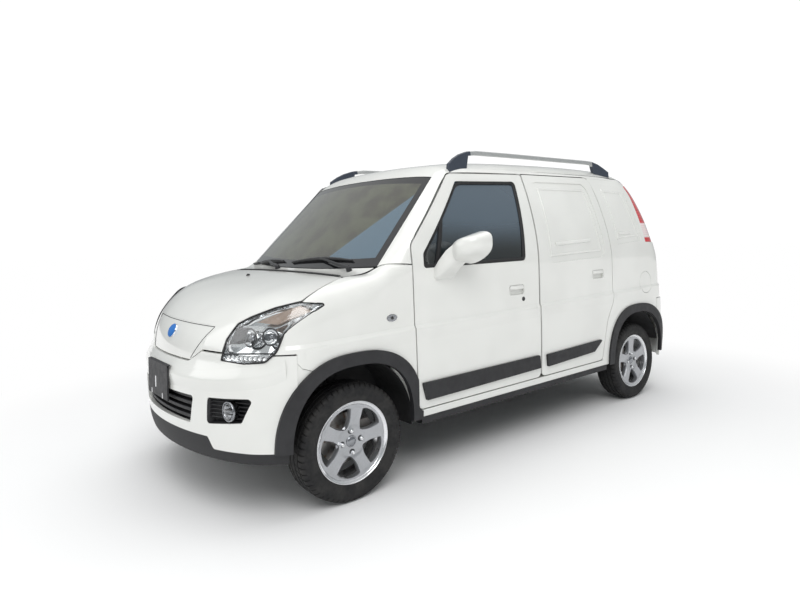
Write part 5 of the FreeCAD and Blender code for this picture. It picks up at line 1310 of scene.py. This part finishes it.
RIM_RADIUS = 0.182
SPOKE_PATH = ((0.03, 0.004), (0.08, 0.006), (0.13, 0.004), (RIM_RADIUS - 0.004, 0.0))
rim = circle(WHEEL_HUB, WHEEL_RIGHT, WHEEL_UP, RIM_RADIUS, 72)
steering = Form().tube(rim, 0.0145, 14, loop=True, up=COLUMN_AXIS)
for angle in (0, 180, 270):
    c, s = math.cos(math.radians(angle)), math.sin(math.radians(angle))
    path = [wheel_place(c * reach, s * reach, out) for reach, out in SPOKE_PATH]
    steering.tube(path, [0.024, 0.019, 0.014, 0.011], 12, flat=0.45, up=COLUMN_AXIS)
steering.lathe(WHEEL_HUB, COLUMN_AXIS, [(-0.036, 0.040), (-0.030, 0.052), (0.004, 0.066), (0.014, 0.062),
                                        (0.019, 0.046), (0.021, 0.0001)], 40, caps=True)
steering_piece = piece("steering_rim", steering, "leather", "steering_wheel", "dash_plastic")
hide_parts("steering_wheel")


def cushion_form(profile, middle_x, half, edge, rows=11):
    """Pad with rounded ends: its side profile drawn in towards its own middle at both ends."""
    corners = [(Vector((0, behind, height)), radius) for behind, height, radius in profile]
    loop = spread(rounded_loop(corners), 90)
    heart = sum(loop, Vector()) / len(loop)
    rings = []
    for k in range(rows * 2 + 1):
        share = (k - rows) / rows
        out = abs(share)
        x = middle_x + half * math.copysign(1 - (1 - out) ** 1.6, share)
        drop = edge * (1 - (1 - max(0.0, out - 0.55) ** 2 / 0.2025) ** 0.5)
        ring = []
        for spot in loop:
            away = (spot - heart)
            moved = spot - away.normalized() * min(drop, away.length * 0.5)
            ring.append(place(x, moved.y, moved.z))
        rings.append(ring)
    return Form().rings(rings)


CLOTH_FRAMES, CLOTH_PRESSURE, CLOTH_CAP = 20, 4.0, 0.014


def swell(item, voxel):
    """Cloth under pressure, so that the pad crowns between its seams; no point moves further than the cap."""
    bpy.ops.object.select_all(action="DESELECT")
    bpy.context.view_layer.objects.active = item
    item.select_set(True)
    mesher = item.modifiers.new("remesh", "REMESH")
    mesher.mode = "VOXEL"
    mesher.voxel_size = voxel
    bpy.ops.object.modifier_apply(modifier=mesher.name)
    start = [v.co.copy() for v in item.data.vertices]
    cloth = item.modifiers.new("cloth", "CLOTH")
    cloth.settings.use_pressure = True
    cloth.settings.uniform_pressure_force = CLOTH_PRESSURE
    cloth.settings.quality = 4
    cloth.settings.effector_weights.gravity = 0
    cloth.point_cache.frame_start = 1
    cloth.point_cache.frame_end = CLOTH_FRAMES
    for number in range(1, CLOTH_FRAMES + 1):
        bpy.context.scene.frame_set(number)
    bpy.ops.object.modifier_apply(modifier=cloth.name)
    for vertex, before in zip(item.data.vertices, start):
        shift = vertex.co - before
        if shift.length > CLOTH_CAP:
            vertex.co = before + shift * (CLOTH_CAP / shift.length)
    bpy.context.scene.frame_set(1)
    item.data.shade_smooth()


SEAT_X = 345
SEAT_PADS = {
    "seat_cushion": ([(848, 452, 30), (848, 556, 50), (1322, 532, 40), (1388, 428, 30)], 222, 26, 0.008),
    "seat_back": ([(1345, 545, 24), (1447, 1106, 40), (1530, 1106, 40), (1444, 500, 30)], 212, 24, 0.008),
    "head_rest": ([(1464, 1150, 24), (1464, 1296, 30), (1536, 1296, 30), (1536, 1150, 24)], 118, 20, 0.006)}
for name, (profile, half, edge, voxel) in SEAT_PADS.items():
    for side, sign in SIDES:
        pad = piece(name + "_" + side, cushion_form(profile, SEAT_X * sign, half, edge), "fabric", "body",
                    "seat_fabric", smooth=180)
        swell(pad, voxel)
        if name == "seat_cushion":
            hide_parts("seat_" + side)


seat_frames, seat_posts = Form(), Form()
for side, sign in SIDES:
    middle = SEAT_X * sign
    for x in (middle - 170, middle + 150):
        seat_frames.block((x, 880, 284), (x + 20, 1370, 330))
        seat_frames.block((x - 6, 905, 326), (x + 26, 1345, 452))
    for x in (middle - 45, middle + 45):
        seat_posts.tube([place(x, 1492, 1080), place(x, 1497, 1130), place(x, 1500, 1180)], 0.006, 12)
piece("seat_frames", seat_frames, "dash", "body", "chassis_black", bevel=0.004)
piece("head_rest_posts", seat_posts, "steel", "body", "chassis_black")

rows = []
for t in fan(0.0, math.pi, 12):
    x, up = 350 - 150 * math.cos(t), math.sin(t) ** 0.7
    rows.append([place(x, 330, 966), place(x, 340, 968 + 44 * up), place(x, 430, 968 + 52 * up),
                 place(x, 478, 968 + 44 * up), place(x, 470, 966)])
piece("instrument_hood", Form().rings(rows), "dash", "body", "dash_plastic", smooth=60)
vents = Form()
for x in (-560, -110, 110, 560):
    for number in range(5):
        height = 905 + number * 9
        behind = 514 - (height - 860) * 0.19
        vents.block((x - 48, behind - 6, height), (x + 48, behind + 3, height + 3.5))
piece("dash_vents", vents, "satin", "body", "dash_plastic", bevel=0.0008)
console = Form().block((-95, 470, 700), (95, 540, 850))
piece("centre_console", console, "satin", "body", "dash_plastic", bevel=0.01)


# Floor, light and camera

def stage_floor():
    """Pale floor that fades into the white background."""
    look = Look("stage_floor")
    shade = look.tint(look.noise(0.4, 2.0), (0.93, 0.93, 0.93), (0.95, 0.95, 0.95))
    material = look.finish(Base_Color=shade, Roughness=look.mottle(3.0, low=0.8, high=0.9))
    away = look.calc("SQRT", look.plus(look.times(look.x, look.x), look.times(look.y, look.y)))
    glow = look.add("ShaderNodeEmission")
    both = look.add("ShaderNodeMixShader")
    look.feed(both.inputs[0], look.step(away, 2.0, 3.6))
    look.tree.links.new(look.end.inputs[0].links[0].from_socket, both.inputs[1])
    look.tree.links.new(glow.outputs[0], both.inputs[2])
    look.tree.links.new(both.outputs[0], look.end.inputs[0])
    mesh = bpy.data.meshes.new("stage_floor")
    mesh.from_pydata([(-60, -60, 0), (60, -60, 0), (60, 60, 0), (-60, 60, 0)], [], [(0, 1, 2, 3)])
    item = bpy.data.objects.new("stage_floor", mesh)
    bpy.context.collection.objects.link(item)
    mesh.materials.append(material)


def soft_light(name, spot, aim, wide, high, power):
    """Soft box at a spot, turned to what it aims at."""
    lamp = bpy.data.lights.new(name, "AREA")
    lamp.shape = "RECTANGLE"
    lamp.size, lamp.size_y = wide, high
    lamp.energy = power
    item = bpy.data.objects.new(name, lamp)
    bpy.context.collection.objects.link(item)
    item.location = spot
    item.rotation_euler = (Vector(aim) - Vector(spot)).to_track_quat("-Z", "Y").to_euler()


def studio_sky():
    """Bright above, a little darker at the sides; white where the camera sees it."""
    world = bpy.data.worlds.new("studio")
    bpy.context.scene.world = world
    world.use_nodes = True
    tree = world.node_tree
    tree.nodes.clear()
    kinds = ("TexCoord", "SeparateXYZ", "ValToRGB", "Background", "Background", "LightPath", "MixShader",
             "OutputWorld")
    place_node, split, ramp, glow, white, path, mix, end = [tree.nodes.new("ShaderNode" + kind)
                                                            for kind in kinds]
    bands = ramp.color_ramp.elements
    bands.new(0.25)
    for band, colour in zip(bands, ((0.42, 0.44, 0.45, 1), (0.62, 0.65, 0.66, 1), (1.0, 1.0, 1.0, 1))):
        band.color = colour
    glow.inputs["Strength"].default_value = 0.68
    white.inputs["Color"].default_value = (1, 1, 1, 1)
    white.inputs["Strength"].default_value = 1.05
    for source, target in ((place_node.outputs["Generated"], split.inputs[0]),
                           (split.outputs["Z"], ramp.inputs["Fac"]),
                           (ramp.outputs["Color"], glow.inputs["Color"]),
                           (path.outputs["Is Camera Ray"], mix.inputs["Fac"]),
                           (glow.outputs[0], mix.inputs[1]), (white.outputs[0], mix.inputs[2]),
                           (mix.outputs[0], end.inputs[0])):
        tree.links.new(source, target)


AZIMUTH, ROLL = math.radians(46.89), math.radians(-1.2)
FOCAL_PIXELS, IMAGE_WIDTH, IMAGE_HEIGHT = 590.5, 800.0, 600.0
PRINCIPAL = (470.5, 236.3)
CAMERA_SPOT = (3.064, -2.514, 1.187)


def photo_camera():
    """Camera at the photo's place and angle, with its lens and the shift of its picture."""
    data = bpy.data.cameras.new("photo_camera")
    data.sensor_width = 36.0
    data.lens = FOCAL_PIXELS * data.sensor_width / IMAGE_WIDTH
    data.shift_x = (0.5 * IMAGE_WIDTH - PRINCIPAL[0]) / IMAGE_WIDTH
    data.shift_y = (PRINCIPAL[1] - 0.5 * IMAGE_HEIGHT) / IMAGE_WIDTH
    item = bpy.data.objects.new("photo_camera", data)
    bpy.context.collection.objects.link(item)
    right = Vector((math.cos(AZIMUTH), math.sin(AZIMUTH), 0))
    up = Vector((0, 0, 1))
    across = right * math.cos(ROLL) + up * math.sin(ROLL)
    over = up * math.cos(ROLL) - right * math.sin(ROLL)
    back = across.cross(over)
    turn = Matrix((across, over, back)).transposed().to_4x4()
    item.matrix_world = Matrix.Translation(CAMERA_SPOT) @ turn
    bpy.context.scene.camera = item


stage_floor()
studio_sky()
soft_light("key", (5.0, -3.5, 6.0), (0, 0, 0.6), 5.0, 4.0, 235)
soft_light("top", (0.0, 0.0, 6.5), (0, 0, 0), 6.0, 8.0, 150)
soft_light("front", (-3.0, -6.5, 3.2), (0, -0.5, 0.6), 4.0, 3.0, 55)
photo_camera()
bpy.context.scene.view_settings.view_transform = "Standard"
